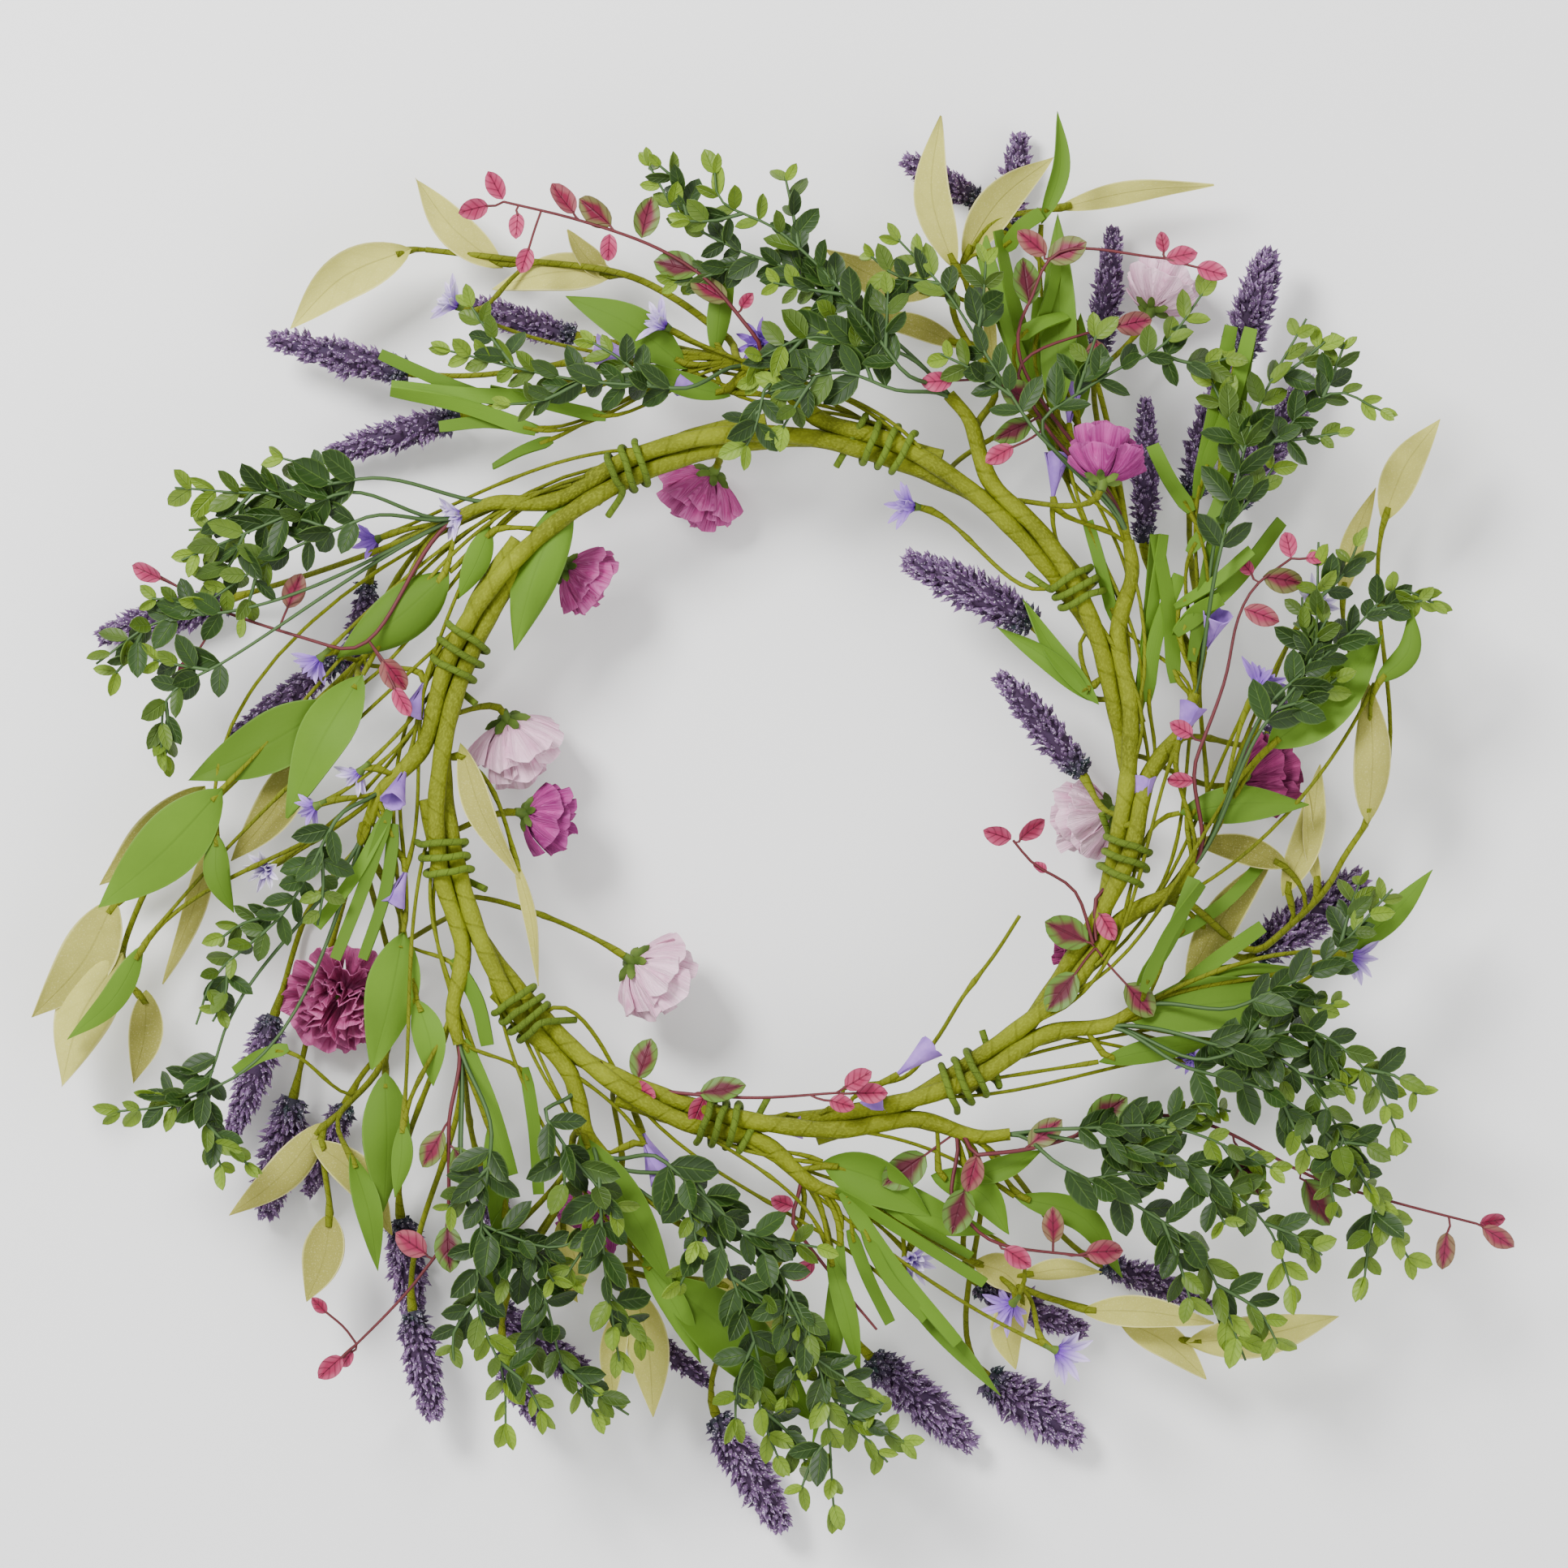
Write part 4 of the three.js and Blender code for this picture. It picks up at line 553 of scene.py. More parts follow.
def scatter(bases, aheads, lengths, radii, shade, part, finish):
    """Many buds at once, each from its base in its own direction."""
    corners, faces = BUD
    count = len(bases)
    sides = unit(np.cross(aheads, np.array([0.31, 0.57, 0.76])))
    others = np.cross(aheads, sides)
    x, y, z = (corners[None, :, k, None] for k in range(3))
    points = bases[:, None] + aheads[:, None] * z * lengths[:, None, None]
    points = points + (sides[:, None] * x + others[:, None] * y) * radii[:, None, None]
    steps = (np.arange(count) * len(corners))[:, None, None]
    rows = {n: (f[None] + steps).reshape(-1, n) for n, f in faces.items()}
    repeat = len(corners)
    return Form(points.reshape(-1, 3), rows, np.tile(corners[:, 2], count), np.zeros(count * repeat),
                np.repeat(shade, repeat), np.repeat(part, repeat), finish)


def add_piece(name, forms, replaced=()):
    """One piece of the wreath from its forms. It rides on the frame and stands for the solids it replaces."""
    made = finishes()
    order = list(dict.fromkeys(form.finish for form in forms))
    corners = np.vstack([form.corners for form in forms]) * MM
    faces, looks = [], []
    offset = 0
    for form in forms:
        for rows in form.faces.values():
            faces += (rows + offset).tolist()
            looks += [order.index(form.finish)] * len(rows)
        offset += len(form.corners)
    mesh = bpy.data.meshes.new(name)
    mesh.from_pydata(corners.tolist(), [], faces)
    for value in ("along", "across", "shade", "part"):
        layer = mesh.attributes.new(value, "FLOAT", "POINT")
        joined = np.concatenate([form.values[value] for form in forms])
        layer.data.foreach_set("value", joined.astype(np.float32))
    mesh.polygons.foreach_set("material_index", looks)
    mesh.polygons.foreach_set("use_smooth", [True] * len(faces))
    for key in order:
        mesh.materials.append(made[key])
    mesh.update()
    mesh.set_sharp_from_angle(angle=math.radians(62))
    piece = bpy.data.objects.new(name, mesh)
    bpy.context.scene.collection.objects.link(piece)
    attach(piece, "root")
    names = [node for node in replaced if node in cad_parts]
    if names:
        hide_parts(*names)


# Heights, read from the solids of the frame.
def tree_of(node):
    """A search tree of a node's solid."""
    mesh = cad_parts[node].data
    return BVHTree.FromPolygons([v.co[:] for v in mesh.vertices], [p.vertices[:] for p in mesh.polygons])


TREES = {node: tree_of(node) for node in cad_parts}


def level(node, x, y, expected):
    """The height of a node's solid at a place, nearest to the one expected there."""
    tree = TREES[node]
    start = Vector((x * MM, y * MM, LOOK_FROM))
    hits = []
    while len(hits) < LOOK_TIMES:
        place, _, _, _ = tree.ray_cast(start, Vector((0, 0, -1)))
        if place is None:
            break
        hits.append(place.z / MM)
        start = place - Vector((0, 0, LOOK_PAST))
    middles = [(high + low) / 2 for high, low in zip(hits[::2], hits[1::2])]
    middles = [m for m in middles if abs(m - expected) < OFF_LEVEL]
    if middles:
        return min(middles, key=lambda m: abs(m - expected))
    near, _, _, _ = tree.find_nearest(Vector((x * MM, y * MM, expected * MM)), ASIDE * MM)
    return near.z / MM if near else expected


def usual(kind, x, y):
    """The usual height of a kind of foliage."""
    near, far = LEVELS[kind]
    out = math.hypot(x - RING_CENTRE[0], y - RING_CENTRE[1]) - RING_RADIUS
    return near + (far - near) * min(max(out / REACH_TO_TIPS, 0), 1)


def node_for(kind, pick):
    """The node of one kind of a pick, or the pick itself where that kind is part of it."""
    own = f"{kind}_{pick:02d}"
    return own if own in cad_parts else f"pick_{pick:02d}"


def lifted(node, kind, places):
    """Places on the picture with the heights of their solid, evened out along them."""
    places = np.asarray(places, float)
    flat = Line(np.column_stack([places, np.zeros(len(places))]))
    shares = np.linspace(0.1, 0.9, 7)
    samples = flat.at(shares * flat.length)
    heights = np.array([level(node, x, y, usual(kind, x, y)) for x, y, _ in samples])
    middle = np.median(heights)
    kept = np.abs(heights - middle) < LEVEL_SPREAD
    slope, start = np.polyfit(shares[kept], heights[kept], 1) if kept.sum() > 2 else (0.0, middle)
    runs = np.concatenate([[0], np.cumsum(np.linalg.norm(np.diff(places, axis=0), axis=1))])
    return np.column_stack([places, start + slope * runs / runs[-1]])


# The ring: where its stems lie and where they leave.
def ring_point(angle, out, side):
    """A place round the ring's middle line: ring angle, mm out of the line, and degrees round it."""
    turn, lean = math.radians(angle), math.radians(side)
    radial = np.array([math.cos(turn), math.sin(turn), 0.0])
    return RING_CENTRE + radial * (RING_RADIUS + out * math.cos(lean)) + UP * (out * math.sin(lean))


def departure(pick):
    """The ring angle at which a pick leaves, growing from pick to pick."""
    return DEPARTURES[pick % PICKS] + 360 * (pick // PICKS)


def lane_side(lane, angle):
    """Where a lane lies round the ring's middle line at a ring angle, in degrees."""
    turned = DEPARTURES[0] + (angle - DEPARTURES[0]) % 360
    pick = 0
    while departure(pick + 1) <= turned:
        pick += 1
    share = (turned - departure(pick)) / (departure(pick + 1) - departure(pick))
    return -TWIST_PER_PICK * (pick + share - lane)


def ring_stem(pick):
    """The middle line of a pick's thick stem, as in the frame."""
    start = departure(pick - 3) + STEM_START
    leaves = departure(pick) - STEM_LEAVES
    end = departure(pick) + STEM_END
    steps = round((leaves - start) / STEM_STEP)
    angles = [start + (leaves - start) * i / steps for i in range(steps + 1)]
    places = [ring_point(a, LANE_RADIUS, lane_side(pick % 3, a)) for a in angles]
    for share in (1 / 3, 2 / 3, 1):
        out = LANE_RADIUS + STEM_OUT * share * share * (3 - 2 * share)
        places.append(ring_point(leaves + (end - leaves) * share, out, 0))
    return Line(places)


RING_STEMS = [ring_stem(pick) for pick in range(PICKS)]


def branch_lines():
    """For each pick, the lines that its thin stems can leave: its thick stem's end, and its leafy stems."""
    lines = {}
    for pick, line in enumerate(RING_STEMS):
        lines[pick] = [(line, line.length - STEM_BRANCHES, line.length - 1)]
    for pick, *places in KHAKI_STEMS:
        line = Line(lifted(node_for("khaki", pick), "khaki", places))
        lines[pick].append((line, 0, line.length))
    return lines


BRANCHES = branch_lines()


def root_for(pick, target, ring_only=False):
    """The best place on a pick's lines to root a stem: near where it goes, and in the line's direction."""
    best = None
    for line, low, high in BRANCHES[pick][:1 if ring_only else None]:
        for distance in np.linspace(low, high, 12):
            place, _, ahead, _ = line.frame(distance)
            way = target - place
            reach = np.linalg.norm(way)
            cost = reach * (1 + 1.4 * (1 - way @ ahead / max(reach, 1e-6))) + (20 if reach < 6 else 0)
            if best is None or cost < best[0]:
                best = (cost, place, ahead)
    return best[1], best[2]


def thin_stem(root, foot, arriving, radius, sleeve, rng, dips=False):
    """A thin wrapped stem from its root, a place with the direction out of it, to a flower or leaf.

    It has a knot, and a sleeve so many times as thick where it holds the flower. A stem that dips goes down
    near the table first.
    """
    start, leaving = root
    line = sweep(start, leaving, foot, arriving)
    if dips:
        low = foot - arriving * 45
        line = Line([start, start + leaving * 9, np.array([*low[:2], 6.0]), foot - arriving * 12, foot])
    knot = line.length * (0.35 + 0.3 * rng.random())

    def thick(distance):
        bulge = 0.35 * np.exp(-((distance - knot) / 2.2) ** 2)
        hold = (sleeve - 1) * np.clip((distance - line.length + 13) / 8, 0, 1)
        return radius * (1 + bulge + hold * (1 - 0.35 * np.clip((distance - line.length + 3) / 3, 0, 1)))

    return rod(line, thick, 7, 4.5, "thin_tape", shade=rng.random())


class Value:
    """One output of a finish's nodes, so that node maths reads as a sum."""

    def __init__(self, finish, socket):
        self.finish = finish
        self.socket = socket

    def _math(self, operation, *values):
        return self.finish.node("ShaderNodeMath", {"operation": operation}, *values)

    def __add__(self, other):
        return self._math("ADD", self, other)

    __radd__ = __add__

    def __sub__(self, other):
        return self._math("SUBTRACT", self, other)

    def __rsub__(self, other):
        return self._math("SUBTRACT", other, self)

    def __mul__(self, other):
        return self._math("MULTIPLY", self, other)

    __rmul__ = __mul__

    def fraction(self):
        return self._math("FRACT", self)

    def absolute(self):
        return self._math("ABSOLUTE", self)

    def sine(self):
        return self._math("SINE", self)

    def above(self, low, high):
        """From 0 at low to 1 at high, evenly."""
        return self.finish.node(
            "ShaderNodeMapRange", {"clamp": True}, self, *[float(x) for x in (low, high, 0, 1)])


class Finish:
    """A procedural finish: one glossy base whose colour, roughness and bump come from nodes."""

    def __init__(self, name, roughness, specular=0.15):
        self.material = bpy.data.materials.new(name)
        self.material.use_nodes = True
        self.nodes = self.material.node_tree.nodes
        self.links = self.material.node_tree.links
        self.shader = self.nodes["Principled BSDF"]
        self.shader.inputs["Roughness"].default_value = roughness
        self.shader.inputs["Specular IOR Level"].default_value = specular

    def node(self, kind, settings, *values, output=0, **named):
        """A shader node with its settings and inputs, and one of its outputs as a value."""
        made = self.nodes.new(kind)
        for key, value in settings.items():
            setattr(made, key, value)
        for socket, value in [*zip(made.inputs, values), *((made.inputs[key], named[key]) for key in named)]:
            if isinstance(value, Value):
                self.links.new(value.socket, socket)
            elif value is not None:
                socket.default_value = value
        return Value(self, made.outputs[output])

    def read(self, name):
        """A value that the mesh carries."""
        return self.node("ShaderNodeAttribute", {"attribute_name": name}, output="Fac")

    def place(self):
        """Where on the object a point is."""
        return self.node("ShaderNodeTexCoord", {}, output="Object")

    def noise(self, scale, detail, vector=None):
        """Smooth noise over the object, or over a vector."""
        where = self.place() if vector is None else vector
        return self.node("ShaderNodeTexNoise", {}, Vector=where, Scale=scale, Detail=detail, output="Fac")

    def vector(self, x, y, z=0.0):
        """Three values as one vector."""
        return self.node("ShaderNodeCombineXYZ", {}, x, y, z)

    def mix(self, factor, low, high):
        """From one colour to another."""
        made = self.nodes.new("ShaderNodeMix")
        made.data_type = "RGBA"
        for index, value in ((0, factor), (6, low), (7, high)):
            if isinstance(value, Value):
                self.links.new(value.socket, made.inputs[index])
            else:
                made.inputs[index].default_value = (*value, 1) if index else value
        return Value(self, made.outputs[2])

    def set(self, socket, value):
        """Feed an input of the shader."""
        self.links.new(value.socket, self.shader.inputs[socket])

    def bump(self, height, distance, strength):
        made = self.node("ShaderNodeBump", {}, Height=height, Distance=distance, Strength=strength)
        self.set("Normal", made)


def tape_finish(name, colour, pitch, fine=1.0):
    """Crinkled paper tape wound round a stem: seams run slantwise, each turn differs a little, and painted
    highlights lie on its crinkled ridges.
    """
    made = Finish(name, roughness=0.72, specular=0.15)
    along, around = made.read("along"), made.read("across")
    turns = along * (1 / pitch) + around
    seam = turns.fraction()
    edge = seam.above(0.0, 0.1) * (1 - seam.above(0.93, 1.0))
    grain = made.noise(420.0, 6.0)
    blotch = made.noise(38.0, 3.0)
    ridges_and_highlights = made.noise(1.0, 4.0, made.vector(along * 0.9 * fine, around * 26.0, made.read("shade") * 9))
    dark = toned(colour, 0.42)
    pale = toned(colour, 1.3, 0.012)
    base = made.mix(blotch.above(0.3, 0.72), dark, colour)
    # Painted highlights: the crinkled ridges are paler, as if lit.
    base = made.mix(ridges_and_highlights.above(0.45, 0.75) * 0.6, base, pale)
    base = made.mix((1 - edge) * 0.45, base, dark)
    base = made.mix(grain.above(0.35, 0.65) * 0.25, base, toned(colour, 0.75))
    made.set("Base Color", base)
    made.bump(edge * 0.6 + ridges_and_highlights * 0.9 + grain * 0.25, 0.0006, 0.8)
    return made.material


def bright_finish(name, colour):
    """Soft foam leaf: even colour, a faint midrib, and a shaded foot."""
    made = Finish(name, roughness=0.62, specular=0.12)
    along, across, shade = made.read("along"), made.read("across"), made.read("shade")
    dull = made.mix(shade, toned(colour, 0.78), toned(colour, 1.12))
    base = made.mix(made.noise(45.0, 3.0).above(0.35, 0.7) * 0.35, dull, toned(colour, 0.72))
    rib = 1 - across.absolute().above(0.0, 0.07)
    base = made.mix(rib * (1 - along) * 0.45, base, toned(colour, 0.55))
    base = made.mix((1 - along.above(0.0, 0.16)) * 0.4, base, toned(colour, 0.6))
    pale = toned(colour, 1.35, 0.03)
    base = made.mix(across.absolute().above(0.93, 1.0) * 0.35, base, pale)
    made.set("Base Color", base)
    made.bump(made.noise(700.0, 2.0) * 0.4 + rib * -0.5 + made.noise(90.0, 2.0) * 0.6, 0.0003, 0.5)
    return made.material


def khaki_finish(name, pale):
    """Olive leaf with a felted face: pale or dark by leaf, with a thin pale edge and fine speckles."""
    made = Finish(name, roughness=0.9, specular=0.08)
    along, across, shade = made.read("along"), made.read("across"), made.read("shade")
    middle, dark = rgb(162, 158, 80), rgb(118, 116, 52)
    low = made.mix(shade.above(0.1, 0.6), dark, middle)
    base = made.mix(shade.above(0.5, 1.0), low, pale)
    base = made.mix(made.noise(60.0, 4.0).above(0.35, 0.75) * 0.3, base, dark)
    base = made.mix(made.noise(1800.0, 2.0).above(0.55, 0.75) * 0.25, base, rgb(226, 220, 156))
    rib = 1 - across.absolute().above(0.0, 0.06)
    veins = (along * 38.0 - across.absolute() * 9.0).sine().above(0.75, 1.0)
    base = made.mix(rib * 0.35 + veins * 0.06, base, dark)
    base = made.mix(across.absolute().above(0.9, 0.98) * 0.6, base, rgb(222, 216, 148))
    base = made.mix((1 - along.above(0.0, 0.14)) * 0.55, base, rgb(128, 138, 44))
    made.set("Base Color", base)
    made.bump(made.noise(1500.0, 2.0) * 0.5 - rib * 0.8 + made.noise(110.0, 2.0) * 0.8, 0.0003, 0.6)
    return made.material


def boxwood_finish(name, old):
    """Moulded leaf: dark and glossy with a pale rim and midrib, yellow-green towards the spray's tip."""
    made = Finish(name, roughness=0.42, specular=0.28)
    along, across, part, shade = (made.read(n) for n in ("along", "across", "part", "shade"))
    young = rgb(116, 144, 34)
    age = (part * 1.15 + shade * 0.35 - 0.35).above(0.42, 0.95)
    body = made.mix(age, made.mix(shade, toned(old, 0.75), toned(old, 1.25)), young)
    veins = (along * 30.0 - across.absolute() * 8.0).sine().above(0.55, 1.0)
    rib = 1 - across.absolute().above(0.02, 0.1)
    body = made.mix(veins * 0.08 + rib * 0.3, body, rgb(104, 136, 58))
    body = made.mix(across.absolute().above(0.84, 0.98) * 0.35, body, rgb(98, 128, 52))
    body = made.mix(made.noise(160.0, 3.0).above(0.4, 0.8) * 0.3, body, toned(old, 0.6))
    made.set("Base Color", body)
    made.set("Roughness", 0.4 + made.noise(240.0, 2.0) * 0.2)
    made.bump(rib * -1.0 + veins * 0.5 + made.noise(300.0, 2.0) * 0.3, 0.0004, 0.7)
    return made.material


def plastic_stem_finish(name, colour, top_highlight):
    """Thin moulded stem with a painted highlight along its top side."""
    made = Finish(name, roughness=0.5, specular=0.2)
    # Painted highlight: a pale strip along the side of the stem that faces up.
    strip = (made.read("across") * math.tau).sine().above(0.55, 0.95)
    base = made.mix(made.noise(60.0, 2.0).above(0.35, 0.7), toned(colour, 0.6), colour)
    made.set("Base Color", made.mix(strip * 0.5, base, top_highlight))
    made.bump(made.noise(500.0, 2.0), 0.0002, 0.4)
    return made.material


def wine_finish(name, colour):
    """Moulded leaf from pink to burgundy with dark veins; large leaves keep a green rim."""
    made = Finish(name, roughness=0.48, specular=0.22)
    along, across, part, shade = (made.read(n) for n in ("along", "across", "part", "shade"))
    burgundy, rim = rgb(78, 20, 34), rgb(82, 118, 42)
    fresh = made.mix(shade, colour, rgb(162, 50, 88))
    body = made.mix(part.above(0.25, 0.75), fresh, burgundy)
    side = across.absolute()
    edge = (side * 0.8 + (along - 0.5).absolute() * 0.9 + made.noise(140.0, 2.0) * 0.3).above(0.52, 0.85)
    body = made.mix(edge * part.above(0.3, 0.6) * 0.9, body, rim)
    body = made.mix((1 - part.above(0.2, 0.7)) * edge * 0.3, body, rgb(190, 100, 128))
    veins = (along * 26.0 - side * 7.0).sine().above(0.6, 1.0)
    rib = 1 - side.above(0.02, 0.09)
    body = made.mix(veins * 0.4 + rib * 0.6, body, rgb(74, 18, 34))
    made.set("Base Color", body)
    made.bump(rib * -1.0 - veins * 0.6 + made.noise(300.0, 2.0) * 0.3, 0.0004, 0.7)
    return made.material


def grass_finish(name, colour):
    """Flat foam blade, even in colour, with faint lengthwise lines."""
    made = Finish(name, roughness=0.6, specular=0.12)
    along, across, shade = made.read("along"), made.read("across"), made.read("shade")
    base = made.mix(shade, toned(colour, 0.7), toned(colour, 1.15))
    # Painted shade: darker towards the blade's foot.
    base = made.mix((1 - along.above(0.0, 0.2)) * 0.4, base, toned(colour, 0.55))
    base = made.mix(made.noise(50.0, 2.0).above(0.4, 0.7) * 0.25, base, toned(colour, 0.75))
    made.set("Base Color", base)
    made.bump(made.noise(1.0, 2.0, made.vector(along * 3.0, across * 9.0)), 0.0002, 0.4)
    return made.material


def floret_finish(name, colour):
    """Lavender buds: painted shade deep inside the head, lilac at their tips, dusted with glitter, dark green
    at the head's foot.
    """
    made = Finish(name, roughness=0.5)
    along, part, shade = made.read("along"), made.read("part"), made.read("shade")
    deep, tip = toned(colour, 0.34), rgb(164, 138, 180)
    # Painted shade: each bud darkens towards its foot, deep in the head, and the core takes the darkest tone.
    body = made.mix(along.above(0.1, 0.75), deep, colour)
    body = made.mix(along.above(0.55, 1.0) * shade, body, tip)
    body = made.mix(made.noise(150.0, 2.0).above(0.5, 0.75) * 0.45, body, rgb(46, 34, 64))
    body = made.mix((1 - part.above(0.04, 0.2)) * (0.35 + shade * 0.6), body, rgb(26, 54, 44))
    glitter = made.noise(1500.0, 1.0).above(0.6, 0.7) * along.above(0.15, 0.5)
    made.set("Base Color", made.mix(glitter * 0.75, body, rgb(226, 218, 232)))
    made.set("Roughness", 0.62 - glitter * 0.35)
    made.bump(made.noise(1300.0, 2.0), 0.0003, 0.6)
    return made.material


def petal_finish(name, colour, shade_and_dark_tone, tips):
    """Crinkled paper petal: painted shade in its folds and towards its foot, streaked lengthwise, paler at
    the edge.
    """
    made = Finish(name, roughness=0.8, specular=0.05)
    along, across, shade = made.read("along"), made.read("across"), made.read("shade")
    streak = made.noise(1.0, 5.0, made.vector(along * 1.6, across * 7.0, shade * 20.0))
    # Painted shade: darker in the hollows of the folds and towards the petal's foot; below, some petals are
    # darker at random.
    base = made.mix(across.above(-0.9, 0.5), shade_and_dark_tone, colour)
    base = made.mix(along.above(0.0, 0.45), shade_and_dark_tone, base)
    base = made.mix(streak.above(0.42, 0.7) * 0.55, base, tips)
    base = made.mix(along.above(0.85, 1.0) * 0.35, base, tips)
    base = made.mix(shade * 0.25, base, shade_and_dark_tone)
    made.set("Base Color", base)
    made.bump(streak * 1.2 + made.noise(260.0, 3.0) * 0.9, 0.0008, 0.9)
    return made.material


def star_finish(name, violet):
    """Thin petal of a starry flower: violet at its foot, whiter towards its tip."""
    made = Finish(name, roughness=0.5)
    along, across, shade = made.read("along"), made.read("across"), made.read("shade")
    soft, white = rgb(148, 104, 200), rgb(240, 236, 246)
    body = made.mix(along.above(0.0, 0.8), violet, soft)
    body = made.mix(shade * along.above(0.25, 0.8), body, white)
    rib = 1 - across.absolute().above(0.05, 0.3)
    body = made.mix(rib * 0.3, body, violet)
    made.set("Base Color", body)
    made.bump(rib + made.noise(300.0, 2.0) * 0.4, 0.0003, 0.5)
    return made.material


def plain_finish(name, colour, dark):
    """Two tones of one colour in soft patches, with a fine grain and painted shade towards the foot."""
    made = Finish(name, roughness=0.6)
    patches = made.noise(120.0, 3.0)
    # Painted shade: darker towards the foot of each petal and sepal.
    foot = (1 - made.read("along").above(0.0, 0.35)) * 0.5
    base = made.mix(patches.above(0.35, 0.7), dark, colour)
    made.set("Base Color", made.mix(foot, base, dark))
    made.bump(made.noise(600.0, 3.0), 0.0003, 0.5)
    return made.material


FINISHES = {}


def finishes():
    """All finishes, made once."""
    if FINISHES:
        return FINISHES
    colours, sizes = bpy.context.scene.wreath_colours, bpy.context.scene.wreath_sizes
    pitch = sizes.tape_pitch / MM
    tape = tuple(colours.tape)
    FINISHES.update(
        tape=tape_finish("wrapped_stem", tape, pitch),
        thin_tape=tape_finish("thin_stem", toned(tape, 0.92), pitch * 0.4, 2.0),
        wire=tape_finish("tie_wire", rgb(98, 120, 32), pitch * 0.35, 2.0),
        bright=bright_finish("bright_leaf", tuple(colours.bright)),
        khaki=khaki_finish("khaki_leaf", tuple(colours.khaki)),
        boxwood=boxwood_finish("boxwood_leaf", tuple(colours.boxwood)),
        boxwood_stem=plastic_stem_finish("boxwood_stem", rgb(40, 66, 32), rgb(88, 114, 66)),
        wine=wine_finish("wine_leaf", tuple(colours.wine)),
        wine_stem=plastic_stem_finish("wine_stem", rgb(74, 22, 32), rgb(114, 56, 58)),
        grass=grass_finish("grass_blade", tuple(colours.bright)),
        lavender=floret_finish("lavender_floret", tuple(colours.lavender)),
        star=star_finish("starry_petal", tuple(colours.violet)),
        trumpet=plain_finish("trumpet_petal", rgb(168, 130, 208), rgb(128, 92, 172)),
        calyx=plain_finish("calyx", rgb(96, 120, 46), rgb(56, 76, 26)),
        bloom_magenta=petal_finish(
            "bloom_magenta", tuple(colours.magenta), rgb(146, 54, 110), rgb(214, 128, 182)),
        bloom_rose=petal_finish("bloom_rose", rgb(164, 58, 128), rgb(116, 34, 90), rgb(190, 98, 162)),
        bloom_carnation=petal_finish(
            "bloom_carnation", rgb(208, 98, 156), rgb(166, 64, 118), rgb(222, 138, 184)),
        bloom_wine=petal_finish("bloom_wine", rgb(138, 46, 96), rgb(82, 22, 56), rgb(170, 78, 126)),
        bloom_pink=petal_finish("bloom_pink", tuple(colours.pink), rgb(206, 146, 176), rgb(246, 220, 232)),
    )
    return FINISHES


def sizes_mm():
    """The size settings in millimetres."""
    group = bpy.context.scene.wreath_sizes
    return {name: getattr(group, name) / MM for name in
            ("stem_radius", "wire_radius", "thin_stem_radius", "leaf_thickness", "petal_thickness")}


# Where things are rooted, and which node and random numbers they use.
def spot(angle, side):
    """A place on the ring's surface and the direction out of it, for what is rooted on the ring."""
    place, outer = ring_point(angle, LANE_RADIUS + 1.5, side), ring_point(angle, LANE_RADIUS + 3, side)
    return place, unit(outer - place)


def from_ring(angle, side):
    """A rule that roots a stem on the ring at one place."""
    return lambda _: spot(angle, side)


def from_pick(pick, ring_only=False):
    """A rule that roots a stem on a pick's lines, wherever it goes to."""
    return lambda target: root_for(pick, target, ring_only)


def ring_pick(angle):
    """The pick that leaves the ring next after an angle."""
    turned = DEPARTURES[0] + (angle - DEPARTURES[0]) % 360
    pick = 0
    while departure(pick) < turned:
        pick += 1
    return pick % PICKS


def node_near(place):
    """The pick whose solid comes nearest to a place at the ring's height."""
    there = Vector((place[0] * MM, place[1] * MM, RING_CENTRE[2] * MM))
    return min((f"pick_{p:02d}" for p in range(PICKS)),
               key=lambda n: (TREES[n].find_nearest(there)[0] - there).length)


def rows_of(table, pick):
    """What a table has for a pick."""
    return [row[1:] for row in table if row[0] == pick]


def rng_for(kind, number):
    """Seeded random numbers for one piece."""
    return np.random.default_rng([ord(c) for c in kind] + [number + 100])


# Pieces of one kind, as lists of forms.
def thick_stem(pick, sizes):
    """A pick's thick wrapped stem, thinner towards its end."""
    line = RING_STEMS[pick]

    def thick(distance):
        taper = 0.3 * np.clip((distance - line.length + 30) / 30, 0, 1)
        return sizes["stem_radius"] * (1 - taper + 0.04 * np.sin(distance * 0.37 + pick))

    return rod(line, thick, 16, 2.5, "tape", pick / PICKS)


def bare_twig():
    """The bare twig inside the ring, thin, with one knot."""
    angle, *places = TWIG
    foot, leaving = spot(angle, ROOTS["twig"])
    line = Line([foot, foot + leaving * 8, *[(x, y, 46 + 0.1 * i) for i, (x, y) in enumerate(places)]])

    def thick(distance):
        knot = 0.45 * np.exp(-((distance - line.length * 0.72) / 3) ** 2)
        return 0.95 + knot - 0.2 * distance / line.length

    return rod(line, thick, 7, 3.0, "thin_tape")


def leaf_forms(node, kind, root, row, shade, rng, sizes, key):
    """A foam leaf on its own wrapped stem, from its row: foot, tip, width and bow."""
    foot, tip, width, bow = np.array(row[0:2], float), np.array(row[2:4], float), row[4], row[5]
    ahead = unit(tip - foot)
    middle = (foot + tip) / 2 + np.array([-ahead[1], ahead[0]]) * bow
    places = lifted(node, kind, [foot, middle, tip])
    places[1, 2] += 1.5 + rng.uniform(-0.5, 2.5)
    places[2, 2] += rng.uniform(-2, 2)
    line = Line(places)
    blade = leaf(line, width, "lance", (8, 18), sizes["leaf_thickness"], cup=rng.uniform(-0.45, 0.5),
                 roll=rng.uniform(-0.3, 0.3), twist=rng.uniform(-0.75, 0.75),
                 wave=0.06 * width * rng.random(), phase=rng.uniform(0, 6), shade=shade, finish=key)
    _, _, arriving, _ = line.frame(0.5)
    stem_end = line.at(min(6.0, 0.15 * line.length))
    return [blade, thin_stem(root(line.places[0]), stem_end, arriving, sizes["thin_stem_radius"], 1.7, rng)]


